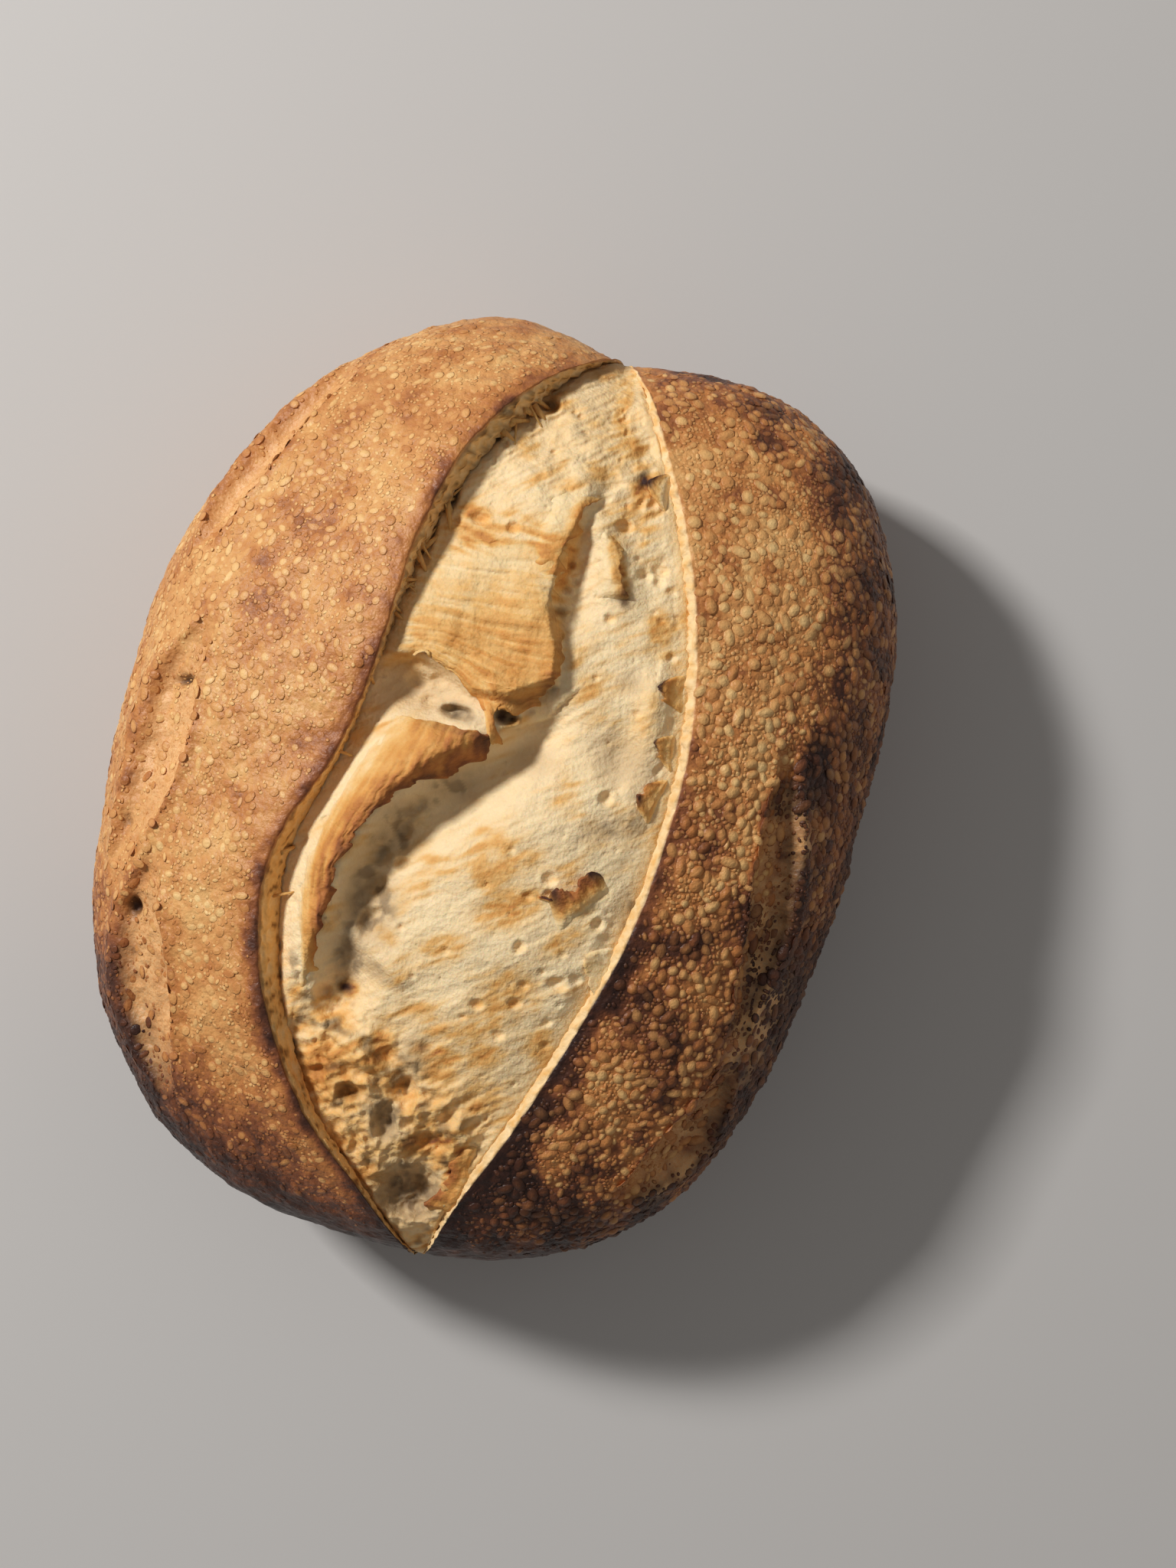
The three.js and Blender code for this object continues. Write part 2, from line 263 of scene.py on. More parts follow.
@dataclass
class LoafForm:
    """The baked body's form, worked out from the same driving dimensions as the solid, in millimetres."""

    belly: float = 42.0
    crown: float = 97.0
    seam: float = 11.0
    far_reach: float = 110.0
    near_reach: float = 121.0
    crown_blunt: float = 2.6
    section_blunt: float = 2.35
    under_blunt: float = 2.6
    base_sink: float = 1.45
    notch_spread: float = math.radians(11.0)
    least_heel: float = math.radians(12.0)
    ear_lift: tuple[float, ...] = (0, 0.5, 2, 3.5, 4, 3.5, 3, 5, 7, 7, 5, 2, 0)
    ear_width: float = 15.0
    wall_run: tuple[float, ...] = (0.4, 1, 2, 3.5, 5, 4.5, 1.5, 1.2, 3, 5, 5, 2.5, 0.4)
    wall_drop: tuple[float, ...] = (1, 2, 4, 6, 8, 8, 7, 8, 9, 9, 8, 4, 1)
    undercut: tuple[float, ...] = (0, 0.5, 1.5, 2.5, 3.5, 4, 4, 4, 4, 3.5, 2.5, 1, 0)
    undercut_drop: float = 2.0
    lip_round: float = 1.2
    right_run: float = 2.2
    right_drop: float = 2.4
    crumb_sink: float = 3.5
    crumb_round: float = 30.0
    crumb_root: float = 0.22
    crumb_edge: float = 0.07
    narrow_gap: float = 40.0
    wobble_size: float = 1.1
    leaf_depth: float = 3.2
    leaf_rim: float = 1.6
    leaf_tip: float = 2.5
    leaves: tuple[Leaf, ...] = (
        Leaf(LEFT, ((-54, 94), (-66, 75), (-76, 53), (-80, 38)), 4.0),
        Leaf(LEFT, ((-71, 23), (-77, 8), (-77, -8), (-79, -25), (-83, -41)), 6.5),
        Leaf(LEFT, ((-72, -33), (-73, -50), (-69, -66), (-64, -80), (-58, -93)), 6.5),
        Leaf(RIGHT, ((70, 24), (73, 0), (76, -24), (74, -51)), 5.0),
        Leaf(RIGHT, ((75, -54), (71, -69), (64, -82), (55, -94)), 5.0),
    )
    spine: Ridge = Ridge(
        ((2, 11), (-10, 4), (-20, -7), (-27, -24), (-30, -44), (-31, -62)), 8.0, (4.0, 9.0)
    )
    gully: Ridge = Ridge(((11, 15), (-2, -4), (-14, -18), (-21, -34), (-22, -58)), -7.0, (8.0, 6.0))
    ridges: tuple[Ridge, ...] = (
        Ridge(((16, 64), (19, 56), (23, 48)), 3.0, (4.5, 5.0)),
        Ridge(((13, 58), (14, 40)), -2.5, (4.0, 4.0)),
        Ridge(((36, 30), (37, 16), (36, 2)), 2.6, (5.0, 3.5)),
        Ridge(((-25, -41), (-16, -45), (-8, -50)), 3.5, (4.0, 3.0)),
        Ridge(((14, -86), (16, -98)), 2.5, (4.0, 4.0)),
        Ridge(((-16, -68), (2, -84)), 2.5, (4.0, 5.0)),
    )
    flap_edge: Path = (
        *((16, 118), (13, 92), (12, 72), (8, 54), (8, 43), (12, 34), (13, 26)),
        *((3, 20), (-6, 19), (-13, 23), (-21, 25), (-31, 21), (-44, 13)),
    )
    flap_height: float = 4.5
    flap_cliff: float = 3.0
    flap_far_cliff: float = 8.0
    flap_far: Pair = (60.0, 80.0)
    flap_end: Pair = (66.0, 92.0)
    flap_fade: float = 26.0
    swells: tuple[Swell, ...] = (
        Swell((-18, 17), (11, 5), -5.0),
        Swell((18, -28), (22, 34), 2.5),
        Swell((9, -94), (9, 8), -5.0),
        Swell((-3, -78), (5, 7), -3.0),
        Swell((32, 12), (8, 6), -2.4),
        Swell((-20, -56), (7, 6), -3.0),
    )
    fray: Noise = field(default_factory=lambda: Noise(11))

    def outline(self, side: Side, turn: Array) -> Array:
        """Returns the distance from the middle to the outline seen from above, in a direction."""
        far = turn > 0.0
        blunt = np.where(far, side.far_blunt, side.near_blunt)
        across = np.abs(np.cos(turn)) / side.width
        length = np.abs(np.sin(turn)) / np.where(far, side.far, side.near)
        radius = (across**blunt + length**blunt) ** (-1.0 / blunt) * (1.0 + side.lean * np.sin(2.0 * turn))
        return radius - np.where(far, side.notch * bell(QUARTER - turn, self.notch_spread), 0.0)

    def half_width(self, side: Side, turn: Array) -> Array:
        """Returns how far one side reaches from the long cut."""
        return self.outline(side, turn) * np.cos(turn)

    def crown_rise(self, turn: Array) -> Array:
        """Returns how high the crown rises over the belly."""
        return (self.crown - self.belly) * np.abs(np.cos(turn)) ** (2.0 / self.crown_blunt)

    def reach(self, turn: Array) -> Array:
        """Returns how far the long cut reaches from the middle."""
        return np.where(turn > 0.0, self.far_reach, self.near_reach)

    def place(self, side: Side, turn: Array, share: Array) -> tuple[Array, Array]:
        """Returns the place seen from above at a share of the way from the cut to one side's outline."""
        y = np.sin(turn) * lerp(self.reach(turn), self.outline(side, turn), share)
        return self.seam + side.way * self.half_width(side, turn) * share, y

    def wobble(self, x: Array, y: Array, z: Array | float) -> Array:
        """Returns the long soft waves that keep the crust from being regular."""
        return self.wobble_size * (
            0.5 * np.sin(x / 17 + y / 29 + 0.6) * np.cos(z / 19 - y / 23)
            + 0.3 * np.sin(y / 9.5 + x / 31 + 2.1) * np.sin(z / 13 + x / 15)
            + 0.2 * np.sin(x / 7.3 - y / 6.1 + z / 8.7)
        )

    def leaf_cuts(self, side: Side, x: Array, y: Array) -> tuple[Array, Array]:
        """Works out the leaf cuts of one flank, seen from above.

        Args:
            side: The flank's side.
            x: The places across the loaf.
            y: The places along the loaf.

        Returns:
            The relief in millimetres, and the shares of each place that are inside a cut and on its rim.
        """
        relief, inside, rim = (np.zeros(np.shape(x)) for _ in range(3))
        for leaf in (leaf for leaf in self.leaves if leaf.side is side):
            near = nearest_on_path(leaf.path, x, y)
            fade = np.sin(math.pi * near.share) ** 0.7
            inward = np.where(near.left == (side is LEFT), 1.0, -1.0)
            across = inward * near.distance / np.maximum(leaf.half * fade, self.leaf_tip)
            across = across + 0.1 * self.fray.at(x / 7, y / 7)
            floor = plateau(across, (-1.15, -0.85), (0.2, 1.15))
            rims = bell(across + 1.4, 0.4) + 0.55 * bell(across - 1.12, 0.2)
            relief += fade * (self.leaf_rim * rims - self.leaf_depth * floor)
            inside = np.maximum(inside, fade * plateau(across, (-1.1, -0.9), (0.85, 1.1)))
            rim = np.maximum(rim, fade * (bell(across + 1.2, 0.4) + 0.7 * bell(across - 1.1, 0.22)))
        return relief, np.stack((inside, np.minimum(rim, 1.0)))

    def lip_share(self, side: Side, turn: Array) -> Array:
        """Returns where a lip runs, as a share of its side's width."""
        return along(side.lip, (turn + QUARTER) / math.pi)

    def lip_angle(self, side: Side, turn: Array) -> Array:
        """Returns the angle at which one side's crust ends in its lip."""
        return math.pi - np.arcsin(self.lip_share(side, turn) ** (self.section_blunt / 2.0))

    def heel_angle(self, turn: Array) -> Array:
        """Returns the angle at which the flat base ends."""
        rise = 1.0 / (self.base_sink * np.sqrt(np.maximum(np.cos(turn), 1e-9)))
        return np.maximum(self.least_heel, np.arccos(np.minimum(rise, 1.0) ** (self.under_blunt / 2.0)))

    def crust(self, side: Side, turn: Array, angle: Array) -> tuple[Array, Array]:
        """Works out the crust of one side.

        Args:
            side: The side of the long cut.
            turn: The direction of each station from the middle, from the near end to the far end.
            angle: The angle from 0 under the middle, round the flank, to half a turn on top.

        Returns:
            The points, and the shares of each that are inside a leaf cut and on its rim.
        """
        upper = angle > QUARTER
        blunt = np.where(upper, self.section_blunt, self.under_blunt)
        share = np.abs(np.sin(angle)) ** (2.0 / blunt)
        rise = np.abs(np.cos(angle)) ** (2.0 / blunt)
        x, y = self.place(side, turn, share)
        length = np.maximum(np.cos(turn), 0.0)
        sunk = self.belly * (1.0 - self.base_sink * rise * np.sqrt(length))
        z = np.where(upper, self.belly + self.crown_rise(turn) * rise, sunk)
        cuts, inside = self.leaf_cuts(side, x, y)
        cuts, inside = np.where(upper, cuts, 0.0), np.where(upper, inside, 0.0)
        relief = (self.wobble(x, y, z) + cuts) * smooth(length, 0.0, 0.3)
        relief = relief * np.where(upper, 1.0, smooth(z, 0.0, self.belly / 2.0))
        x = x + side.way * np.sin(angle) * length * relief
        y = y + np.sin(turn) * relief
        z = z + np.maximum(0.0, -np.cos(angle)) * length * relief
        if side is LEFT:
            back = (share - self.lip_share(side, turn)) * self.half_width(side, turn)
            lift = along(self.ear_lift, (turn + QUARTER) / math.pi) * bell(back, self.ear_width)
            z = z + np.where(upper, lift, 0.0)
        return np.stack((x, y, np.maximum(z, 0.0)), axis=-1), inside

    def uncut(self, turn: Array, x: Array) -> Array:
        """Returns the points of the crown over the cut, as if it had not burst, at places across it."""
        points = np.zeros((*np.shape(x), 3))
        for side, chosen in ((LEFT, x < self.seam), (RIGHT, x >= self.seam)):
            share = np.clip(np.abs(x - self.seam) / np.maximum(self.half_width(side, turn), 1e-3), 0.0, 1.0)
            _, y = self.place(side, turn, share)
            round_over = (1.0 - share**self.section_blunt) ** (1.0 / self.section_blunt)
            z = self.belly + self.crown_rise(turn) * round_over
            points[chosen] = np.stack((x, y, z), axis=-1)[chosen]
        return points

    def turn_at(self, x: Array, y: Array) -> Array:
        """Returns the station's direction at places over the cut."""
        turn = np.arcsin(np.clip(y / self.near_reach, -0.999, 0.999))
        for _ in range(6):
            wide = np.where(x < self.seam, self.half_width(LEFT, turn), self.half_width(RIGHT, turn))
            share = np.clip(np.abs(x - self.seam) / np.maximum(wide, 1e-3), 0.0, 1.0)
            edge = np.where(x < self.seam, self.outline(LEFT, turn), self.outline(RIGHT, turn))
            turn = np.arcsin(np.clip(y / lerp(self.reach(y), edge, share), -0.999, 0.999))
        return turn

    def cut(self, turn: Array) -> CutKeys:
        """Returns the places across the cut at each station."""
        share = (turn + QUARTER) / math.pi
        edge, _ = self.crust(LEFT, turn, self.lip_angle(LEFT, turn))
        right_edge, _ = self.crust(RIGHT, turn, self.lip_angle(RIGHT, turn))
        fade = smooth(np.cos(turn), 0.0, self.crumb_round / self.near_reach)
        scale = np.minimum(1.0, (right_edge[..., 0] - edge[..., 0]) / self.narrow_gap)
        wall = edge.copy()
        wall[..., 0] += along(self.wall_run, share) * scale
        wall[..., 2] -= along(self.wall_drop, share) * fade
        root = wall.copy()
        root[..., 0] -= along(self.undercut, share) * scale
        root[..., 2] -= self.undercut_drop * fade
        foot = right_edge.copy()
        foot[..., 0] -= self.right_run * scale
        foot[..., 2] -= self.right_drop * fade
        return CutKeys(edge, wall, root, foot, right_edge, fade, scale)

    def main_relief(self, x: Array, y: Array) -> Array:
        """Returns the main torn ridges, hollows and swells of the crumb, as in the solid."""
        relief = np.zeros(np.shape(x))
        for ridge in (self.spine, self.gully, *self.ridges):
            near = nearest_on_path(ridge.path, x, y)
            width = np.where(near.left, *ridge.widths)
            relief += ridge.height * bell(near.distance, width) * (1.0 - 0.5 * near.share**2)
        for swell in self.swells:
            u, v = (x - swell.at[0]) / swell.radii[0], (y - swell.at[1]) / swell.radii[1]
            relief += swell.height * np.exp(-(u * u + v * v))
        edge = nearest_on_path(self.flap_edge, x, y)
        back = np.where(edge.left, -edge.distance, edge.distance)
        cliff = lerp(self.flap_cliff, self.flap_far_cliff, smooth(y, *self.flap_far)) / 2.0
        flap = smooth(back / cliff, -1.0, 1.0) * (1.0 - smooth(y, *self.flap_end))
        return relief + self.flap_height * flap * bell(edge.distance, self.flap_fade)

    def crumb(self, turn: Array, share: Array, relief: Callable[[Array, Array], Array]) -> Array:
        """Works out the crumb's surface.

        Args:
            turn: The direction of each station.
            share: The share of the way from the crumb's root under the ear to its edge under the right lip.
            relief: Gives the crumb's relief at places seen from above.

        Returns:
            The points.
        """
        keys = self.cut(turn)
        x = lerp(keys.root[..., 0], keys.foot[..., 0], share)
        depth = self.uncut(turn, keys.root[..., 0])[..., 2] - keys.root[..., 2]
        rest = lerp(self.crumb_sink, self.right_drop, np.clip(share, 0.0, 1.0)) * keys.fade
        points = self.uncut(turn, x)
        points[..., 2] -= lerp(depth, rest, smooth(share, 0.0, self.crumb_root))
        inside = smooth(share, 0.0, self.crumb_root / 2.0) * smooth(1.0 - share, 0.0, self.crumb_edge)
        points[..., 2] += inside * keys.fade * relief(points[..., 0], points[..., 1])
        return points

    def crumb_height(self, x: Array, y: Array, relief: Callable[[Array, Array], Array]) -> Array:
        """Returns the crumb's height at places seen from above."""
        turn = self.turn_at(x, y)
        keys = self.cut(turn)
        wide = np.maximum(keys.foot[..., 0] - keys.root[..., 0], 1e-3)
        return self.crumb(turn, (x - keys.root[..., 0]) / wide, relief)[..., 2]


@dataclass(frozen=True)
class Spot:
    """A patch of colour on the loaf: its middle, its radii, the turn of its long axis and its strength."""

    at: Pair
    radii: Pair
    turn: float = 0.0
    strength: float = 1.0

    def reach(self, x: Array, y: Array) -> Array:
        """Returns how strongly the patch shows at each place."""
        angle = math.radians(self.turn)
        dx, dy = x - self.at[0], y - self.at[1]
        u = (dx * math.cos(angle) + dy * math.sin(angle)) / self.radii[0]
        v = (dy * math.cos(angle) - dx * math.sin(angle)) / self.radii[1]
        return self.strength * np.exp(-((u * u + v * v) ** 1.5))


def strongest(spots: Sequence[Spot], x: Array, y: Array) -> Array:
    """Returns the strongest of some patches at each place."""
    return np.maximum.reduce([spot.reach(x, y) for spot in spots])


class MeshTools:
    """The few mesh steps that every piece of the loaf shares."""

    @staticmethod
    def points_of(mesh: Mesh) -> Array:
        """Returns a mesh's points."""
        values = np.zeros(3 * len(mesh.vertices))
        mesh.vertices.foreach_get("co", values)
        return values.reshape(-1, 3)

    @staticmethod
    def normals_of(mesh: Mesh) -> Array:
        """Returns a mesh's normals at its points."""
        values = np.zeros(3 * len(mesh.vertices), np.float32)
        mesh.vertex_normals.foreach_get("vector", values)
        return values.reshape(-1, 3).astype(float)

    @staticmethod
    def move_points(mesh: Mesh, points: Array) -> None:
        """Moves a mesh's points."""
        mesh.vertices.foreach_set("co", points.astype(np.float32).ravel())
        mesh.update()

    @staticmethod
    def tone(mesh: Mesh, name: str, values: Array) -> None:
        """Stores a number at each point for the materials to read."""
        layer = mesh.attributes.new(name, "FLOAT", "POINT")
        layer.data.foreach_set("value", np.clip(values, 0.0, 1.0).astype(np.float32))

    @staticmethod
    def to_mesh(source: bmesh.types.BMesh, name: str) -> Mesh:
        """Turns a bmesh into a smooth mesh and frees it."""
        mesh = bpy.data.meshes.new(name)
        for face in source.faces:
            face.smooth = True
        source.to_mesh(mesh)
        source.free()
        return mesh

    @staticmethod
    def piece(name: str, mesh: Mesh, material: Material) -> Object:
        """Puts a mesh into the scene as a piece of the loaf.

        Args:
            name: The piece's name.
            mesh: Its mesh, in metres in the frame of the model.
            material: Its finish.

        Returns:
            The piece, riding on the loaf's body.
        """
        obj = bpy.data.objects.new(name, mesh)
        bpy.context.scene.collection.objects.link(obj)
        mesh.materials.append(material)
        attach(obj, BODY)
        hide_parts(NODE)
        return obj


@dataclass(frozen=True)
class Stage:
    """Moves the form's millimetres, which start at the middle of the cut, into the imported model's frame."""

    shift: Pair

    @classmethod
    def from_form(cls, form: LoafForm) -> "Stage":
        """Finds the shift that centres the form on its own box, as the solid is centred."""
        turn = np.linspace(-QUARTER, QUARTER, 721)[:, None]
        angle = np.linspace(0.4 * math.pi, 0.7 * math.pi, 61)[None, :]
        turn, angle = np.broadcast_arrays(turn, angle)
        both = np.concatenate([form.crust(side, turn, angle)[0].reshape(-1, 3) for side in (LEFT, RIGHT)])
        middle = (both.min(axis=0) + both.max(axis=0)) / 2.0
        return cls((-middle[0], -middle[1]))

    def metres(self, points: Array) -> Array:
        """Returns the form's points in metres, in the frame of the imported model."""
        return (points + (*self.shift, 0.0)) * MM

    def millimetres(self, points: Array) -> Array:
        """Returns points of the frame as the form's own."""
        return points / MM - (*self.shift, 0.0)


def closed_skin(name: str, columns: int, rows: int, shape: Callable[[Array, Array], Array]) -> Mesh:
    """Makes a closed skin from end to end of the loaf out of a ball.

    Args:
        name: The mesh's name.
        columns: How many columns run round it.
        rows: How many rows run from the near end to the far end.
        shape: Gives the points in metres for each point's station and column.

    Returns:
        The mesh.
    """
    sheet = bmesh.new()
    bmesh.ops.create_grid(sheet, x_segments=columns, y_segments=rows, size=1.0)
    mesh = MeshTools.to_mesh(sheet, name)
    flat = MeshTools.points_of(mesh)
    round_ball, up_ball = flat[:, 0] * math.pi, flat[:, 1] * QUARTER
    ring = np.where(np.abs(flat[:, 1]) > 1.0 - 0.5 / rows, 0.0, np.cos(up_ball))
    rolled = np.stack((ring * np.cos(round_ball), ring * np.sin(round_ball), np.sin(up_ball)), axis=-1)
    MeshTools.move_points(mesh, rolled)
    ball = bmesh.new()
    ball.from_mesh(mesh)
    bpy.data.meshes.remove(mesh)
    border = [vert for vert in ball.verts if vert.is_boundary]
    bmesh.ops.remove_doubles(ball, verts=border, dist=0.1 / columns / rows)
    mesh = MeshTools.to_mesh(ball, name)
    points = MeshTools.points_of(mesh)
    along_axis = np.round(np.arcsin(np.clip(points[:, 2], -1.0, 1.0)) / math.pi * rows) * 2.0 / rows
    turn = lerp(QUARTER * along_axis, np.arcsin(np.clip(along_axis, -1.0, 1.0)), END_CROWDING)
    column = np.round(np.arctan2(points[:, 1], points[:, 0]) / math.tau * columns).astype(int) % columns
    MeshTools.move_points(mesh, shape(turn, column))
    return mesh


class Band(Enum):
    """The bands of the crust round a station, from under the middle and up over the left flank."""

    LEFT_BASE = "left base"
    LEFT_WALL = "left wall"
    LEFT_CROWN = "left crown"
    LIP = "ear lip"
    FACE = "cut face"
    UNDERCUT = "undercut"
    VALLEY = "valley"
    FOOT = "right cut face"
    RIGHT_CROWN = "right crown"
    RIGHT_WALL = "right wall"
    RIGHT_BASE = "right base"


@dataclass(frozen=True)
class CrustLook:
    """How dark the crust is in its parts, from 0, pale, to 1, almost black, and where they fade. Mostly this
    is how darkly it is baked; right_flank_shade is painted shade on the flank that faces away from the key
    light.
    """

    left: float = 0.36
    left_blotch: float = 0.08
    left_stain: float = 0.11
    left_lip: float = 0.12
    left_low_lip: float = 0.14
    left_behind_lip: float = 0.08
    left_near_end: float = 0.68
    left_pale: float = 0.07
    right: float = 0.37
    right_blotch: float = 0.2
    right_stain: float = 0.16
    right_low: float = 0.14
    right_lip: float = 0.36
    right_behind_lip: float = 0.08
    right_flank_shade: float = 0.34
    right_far_end: float = 0.22
    right_under: float = 0.2
    right_near_end: float = 0.3
    rim: float = 0.14
    heel: float = 0.1
    soft_base: float = 0.3
    mottle: float = 0.1
    speckle: float = 0.07
    crown: Pair = (60.0, 78.0)
    seam_high: float = 6.0
    seam_low: float = 26.0
    sand: float = 0.8
    sand_most: float = 0.85
    right_leaf: float = 0.6
    face: Pair = (0.46, 0.36)
    foot: Pair = (0.28, 0.27)
    face_swing: float = 0.22


@dataclass
class Crust:
    """The loaf's skin: base, flanks, crowns, lips and the cut faces under them, in one closed mesh."""

    form: LoafForm
    stage: Stage
    rows: int = 318
    columns: dict[Band, int] = field(
        default_factory=lambda: {
            Band.LEFT_BASE: 8,
            Band.LEFT_WALL: 34,
            Band.LEFT_CROWN: 100,
            Band.LIP: 5,
            Band.FACE: 18,
            Band.UNDERCUT: 5,
            Band.VALLEY: 8,
            Band.FOOT: 8,
            Band.RIGHT_CROWN: 84,
            Band.RIGHT_WALL: 34,
            Band.RIGHT_BASE: 8,
        }
    )
    valley_depth: float = 17.0
    root_depth: float = 11.0
    sunk: float = 0.35
    pit_depth: float = 2.2
    upper_face: Pair = (-12.0, 25.0)
    face_to_foot: Pair = (5.0, 15.0)
    look: CrustLook = CrustLook()
    lumps: Noise = field(default_factory=lambda: Noise(3))
    face_pores: Noise = field(default_factory=lambda: Noise(5))
    tones: dict[str, Array] = field(default_factory=dict)

    def band(self, band: Band, turn: Array, part: Array) -> tuple[Array, Array, Array]:
        """Works out one band.

        Args:
            band: The band.
            turn: The station of each point.
            part: The share of the way over the band.

        Returns:
            The points, the shares inside a leaf cut and on its rim, and the share of cut face.
        """
        form = self.form
        nothing = np.zeros(turn.shape)
        no_leaf = np.zeros((2, len(turn)))
        heel = form.heel_angle(turn)
        flanks = {
            Band.LEFT_BASE: (LEFT, nothing, heel),
            Band.LEFT_WALL: (LEFT, heel, QUARTER),
            Band.LEFT_CROWN: (LEFT, QUARTER, form.lip_angle(LEFT, turn)),
            Band.RIGHT_CROWN: (RIGHT, form.lip_angle(RIGHT, turn), QUARTER),
            Band.RIGHT_WALL: (RIGHT, QUARTER, heel),
            Band.RIGHT_BASE: (RIGHT, heel, nothing),
        }
        if band in flanks:
            side, start, end = flanks[band]
            return *form.crust(side, turn, lerp(start, end, part)), nothing
        keys = form.cut(turn)
        share = part[:, None]
        bottom = keys.root - np.stack((nothing, nothing, self.root_depth * keys.fade), axis=-1)
        far_bottom = keys.foot - np.stack((nothing, nothing, self.valley_depth * keys.fade), axis=-1)
        round_end = keys.edge.copy()
        round_end[:, 0] += form.lip_round * keys.scale
        round_end[:, 2] -= form.lip_round * keys.fade
        if band is Band.LIP:
            corner = keys.edge.copy()
            corner[:, 0] = round_end[:, 0]
            curve = lerp(lerp(keys.edge, corner, share), lerp(corner, round_end, share), share)
            return curve, no_leaf, nothing
        if band is Band.FACE:
            return lerp(round_end, keys.wall, share), no_leaf, np.maximum(0.35, smooth(part, 0.0, 0.12))
        if band is Band.UNDERCUT:
            return lerp(keys.wall, keys.root, share), no_leaf, nothing + 1.0
        if band is Band.VALLEY:
            sides = (keys.root, bottom, far_bottom, keys.foot)
            step = np.minimum((part * 3.0).astype(int), 2)
            rest = (part * 3.0 - step)[:, None]
            starts = np.choose(step[:, None], sides[:3])
            ends = np.choose(step[:, None], sides[1:])
            return lerp(starts, ends, rest), no_leaf, nothing + 1.0
        return lerp(keys.foot, keys.right_edge, share), no_leaf, 1.0 - smooth(part, 0.75, 1.0)

    def shape(self, turn: Array, column: NDArray[np.int64]) -> Array:
        """Returns the skin's points in metres, and keeps its tones."""
        points = np.zeros((len(turn), 3))
        leaf, cut = np.zeros((2, len(turn))), np.zeros(len(turn))
        start = 0
        for band, count in self.columns.items():
            chosen = (column >= start) & (column < start + count)
            part = (column[chosen] - start) / count
            points[chosen], leaf[:, chosen], cut[chosen] = self.band(band, turn[chosen], part)
            start += count
        self.tones = {"leaf": leaf[0], "rim": leaf[1], "cut": cut}
        return self.stage.metres(points)

    def left_bake(self, place: Array, back: Array, blotches: Array, stains: Array) -> Array:
        """Works out how darkly the left side is baked: by its lip, at its near end and in its stains.

        Args:
            place: The points.
            back: How far each is behind the ear's lip.
            blotches: The strength of the wide blotches.
            stains: The strength of the small stains.

        Returns:
            The tones.
        """
        (x, y, z), look = place.T, self.look
        lip = look.left_lip + look.left_low_lip * smooth(-y, -20.0, 30.0)
        scorch = lip * bell(back, 2.4) + look.left_behind_lip * bell(back, 8.0)
        wave = 9.0 * self.lumps.layered(x / 24, y / 24, z / 24 + 17.0)
        near_end = smooth(wave - y, 28.0, 96.0) * (1.0 - smooth(z, 50.0, 92.0))
        tone = look.left + look.left_blotch * blotches + look.left_stain * stains
        tone += scorch * smooth(z, *look.crown) + look.left_near_end * near_end
        tone -= look.left_pale * bell(x + 58.0, 16.0) * bell(y + 52.0, 36.0)
        return tone + strongest(LEFT_STAINS, x, y)

    def right_bake_and_shade(self, place: Array, back: Array, blotches: Array, stains: Array) -> Array:
        """Works out how dark the right side is: darker by its lip and at both its ends, with painted shade on
        its flank.

        Args:
            place: The points.
            back: How far each is behind the right lip.
            blotches: The strength of the wide blotches.
            stains: The strength of the small stains.

        Returns:
            The tones.
        """
        (x, y, z), look = place.T, self.look
        low = smooth(-y, -45.0, 60.0)
        scorch = look.right_lip * bell(back, 4.6) + look.right_behind_lip * bell(back, 13.0)
        tone = look.right + look.right_blotch * blotches * (0.4 + low) + look.right_stain * stains
        tone += look.right_low * low + scorch * smooth(z, *look.crown) * low
        # Painted shade on the right flank, which faces away from the key light.
        tone += look.right_flank_shade * smooth(x, 62.0, 84.0) + look.right_far_end * smooth(y, 82.0, 106.0)
        tone += look.right_under * (1.0 - smooth(z, 30.0, 72.0))
        return tone + look.right_near_end * smooth(-y, 78.0, 110.0) + strongest(RIGHT_STAINS, x, y)

    def bake_and_shade(self, points: Array) -> Array:
        """Returns how dark the skin is, from 0, pale, to 1, almost black: its bake, with painted shade on the
        right flank.
        """
        (x, y, z), look, lumps = points.T, self.look, self.lumps
        keys = self.form.cut(self.form.turn_at(np.clip(x, *OVER_CUT), y))
        blotches = smooth(lumps.layered(x / 17 + 5.0, y / 21, z / 20), 0.0, 0.7)
        stains = smooth(lumps.layered(x / 9 + 2.0, y / 11, z / 9 + 7.0, layers=2), 0.15, 0.75)
        left = self.left_bake(points, np.maximum(keys.edge[:, 0] - x, 0.0), blotches, stains)
        right = self.right_bake_and_shade(points, np.maximum(x - keys.right_edge[:, 0], 0.0), blotches, stains)
        blend = lerp(look.seam_low, look.seam_high, smooth(z, 44.0, 72.0))
        blend += 6.0 * lumps.at(x / 11, y / 11, z / 11 + 13.0)
        tone = lerp(left, right, smooth((x - self.form.seam - 2.0) / blend, -1.0, 1.0))
        tone += look.mottle * lumps.layered(*points.T / 12.0) + look.speckle * lumps.at(*points.T / 3.4)
        tone -= look.soft_base * smooth(tone, 0.5, 1.0) * (1.0 - smooth(z, 14.0, 48.0))
        return tone + look.heel * (1.0 - smooth(z, 2.0, 14.0)) + look.rim * self.tones["rim"]

    def paint_leaves(self, points: Array) -> Array:
        """Returns how sandy each point is, in the leaf cuts and in the patches on the right."""
        (x, y, z), leaf, look = points.T, self.tones["leaf"], self.look
        worn = 0.85 + 0.9 * self.lumps.layered(x / 4, y / 4, z / 4 + 3.0)
        sands = np.clip(look.sand * strongest(RIGHT_SANDS, x, y) * worn, 0.0, look.sand_most)
        rubbed = leaf * np.clip(0.4 + 0.6 * worn, 0.3, 1.0)
        painted = np.where(x > self.form.seam, np.maximum(look.right_leaf * leaf * worn, sands), rubbed)
        return np.clip(painted * smooth(z, 20.0, 34.0), 0.0, 1.0)

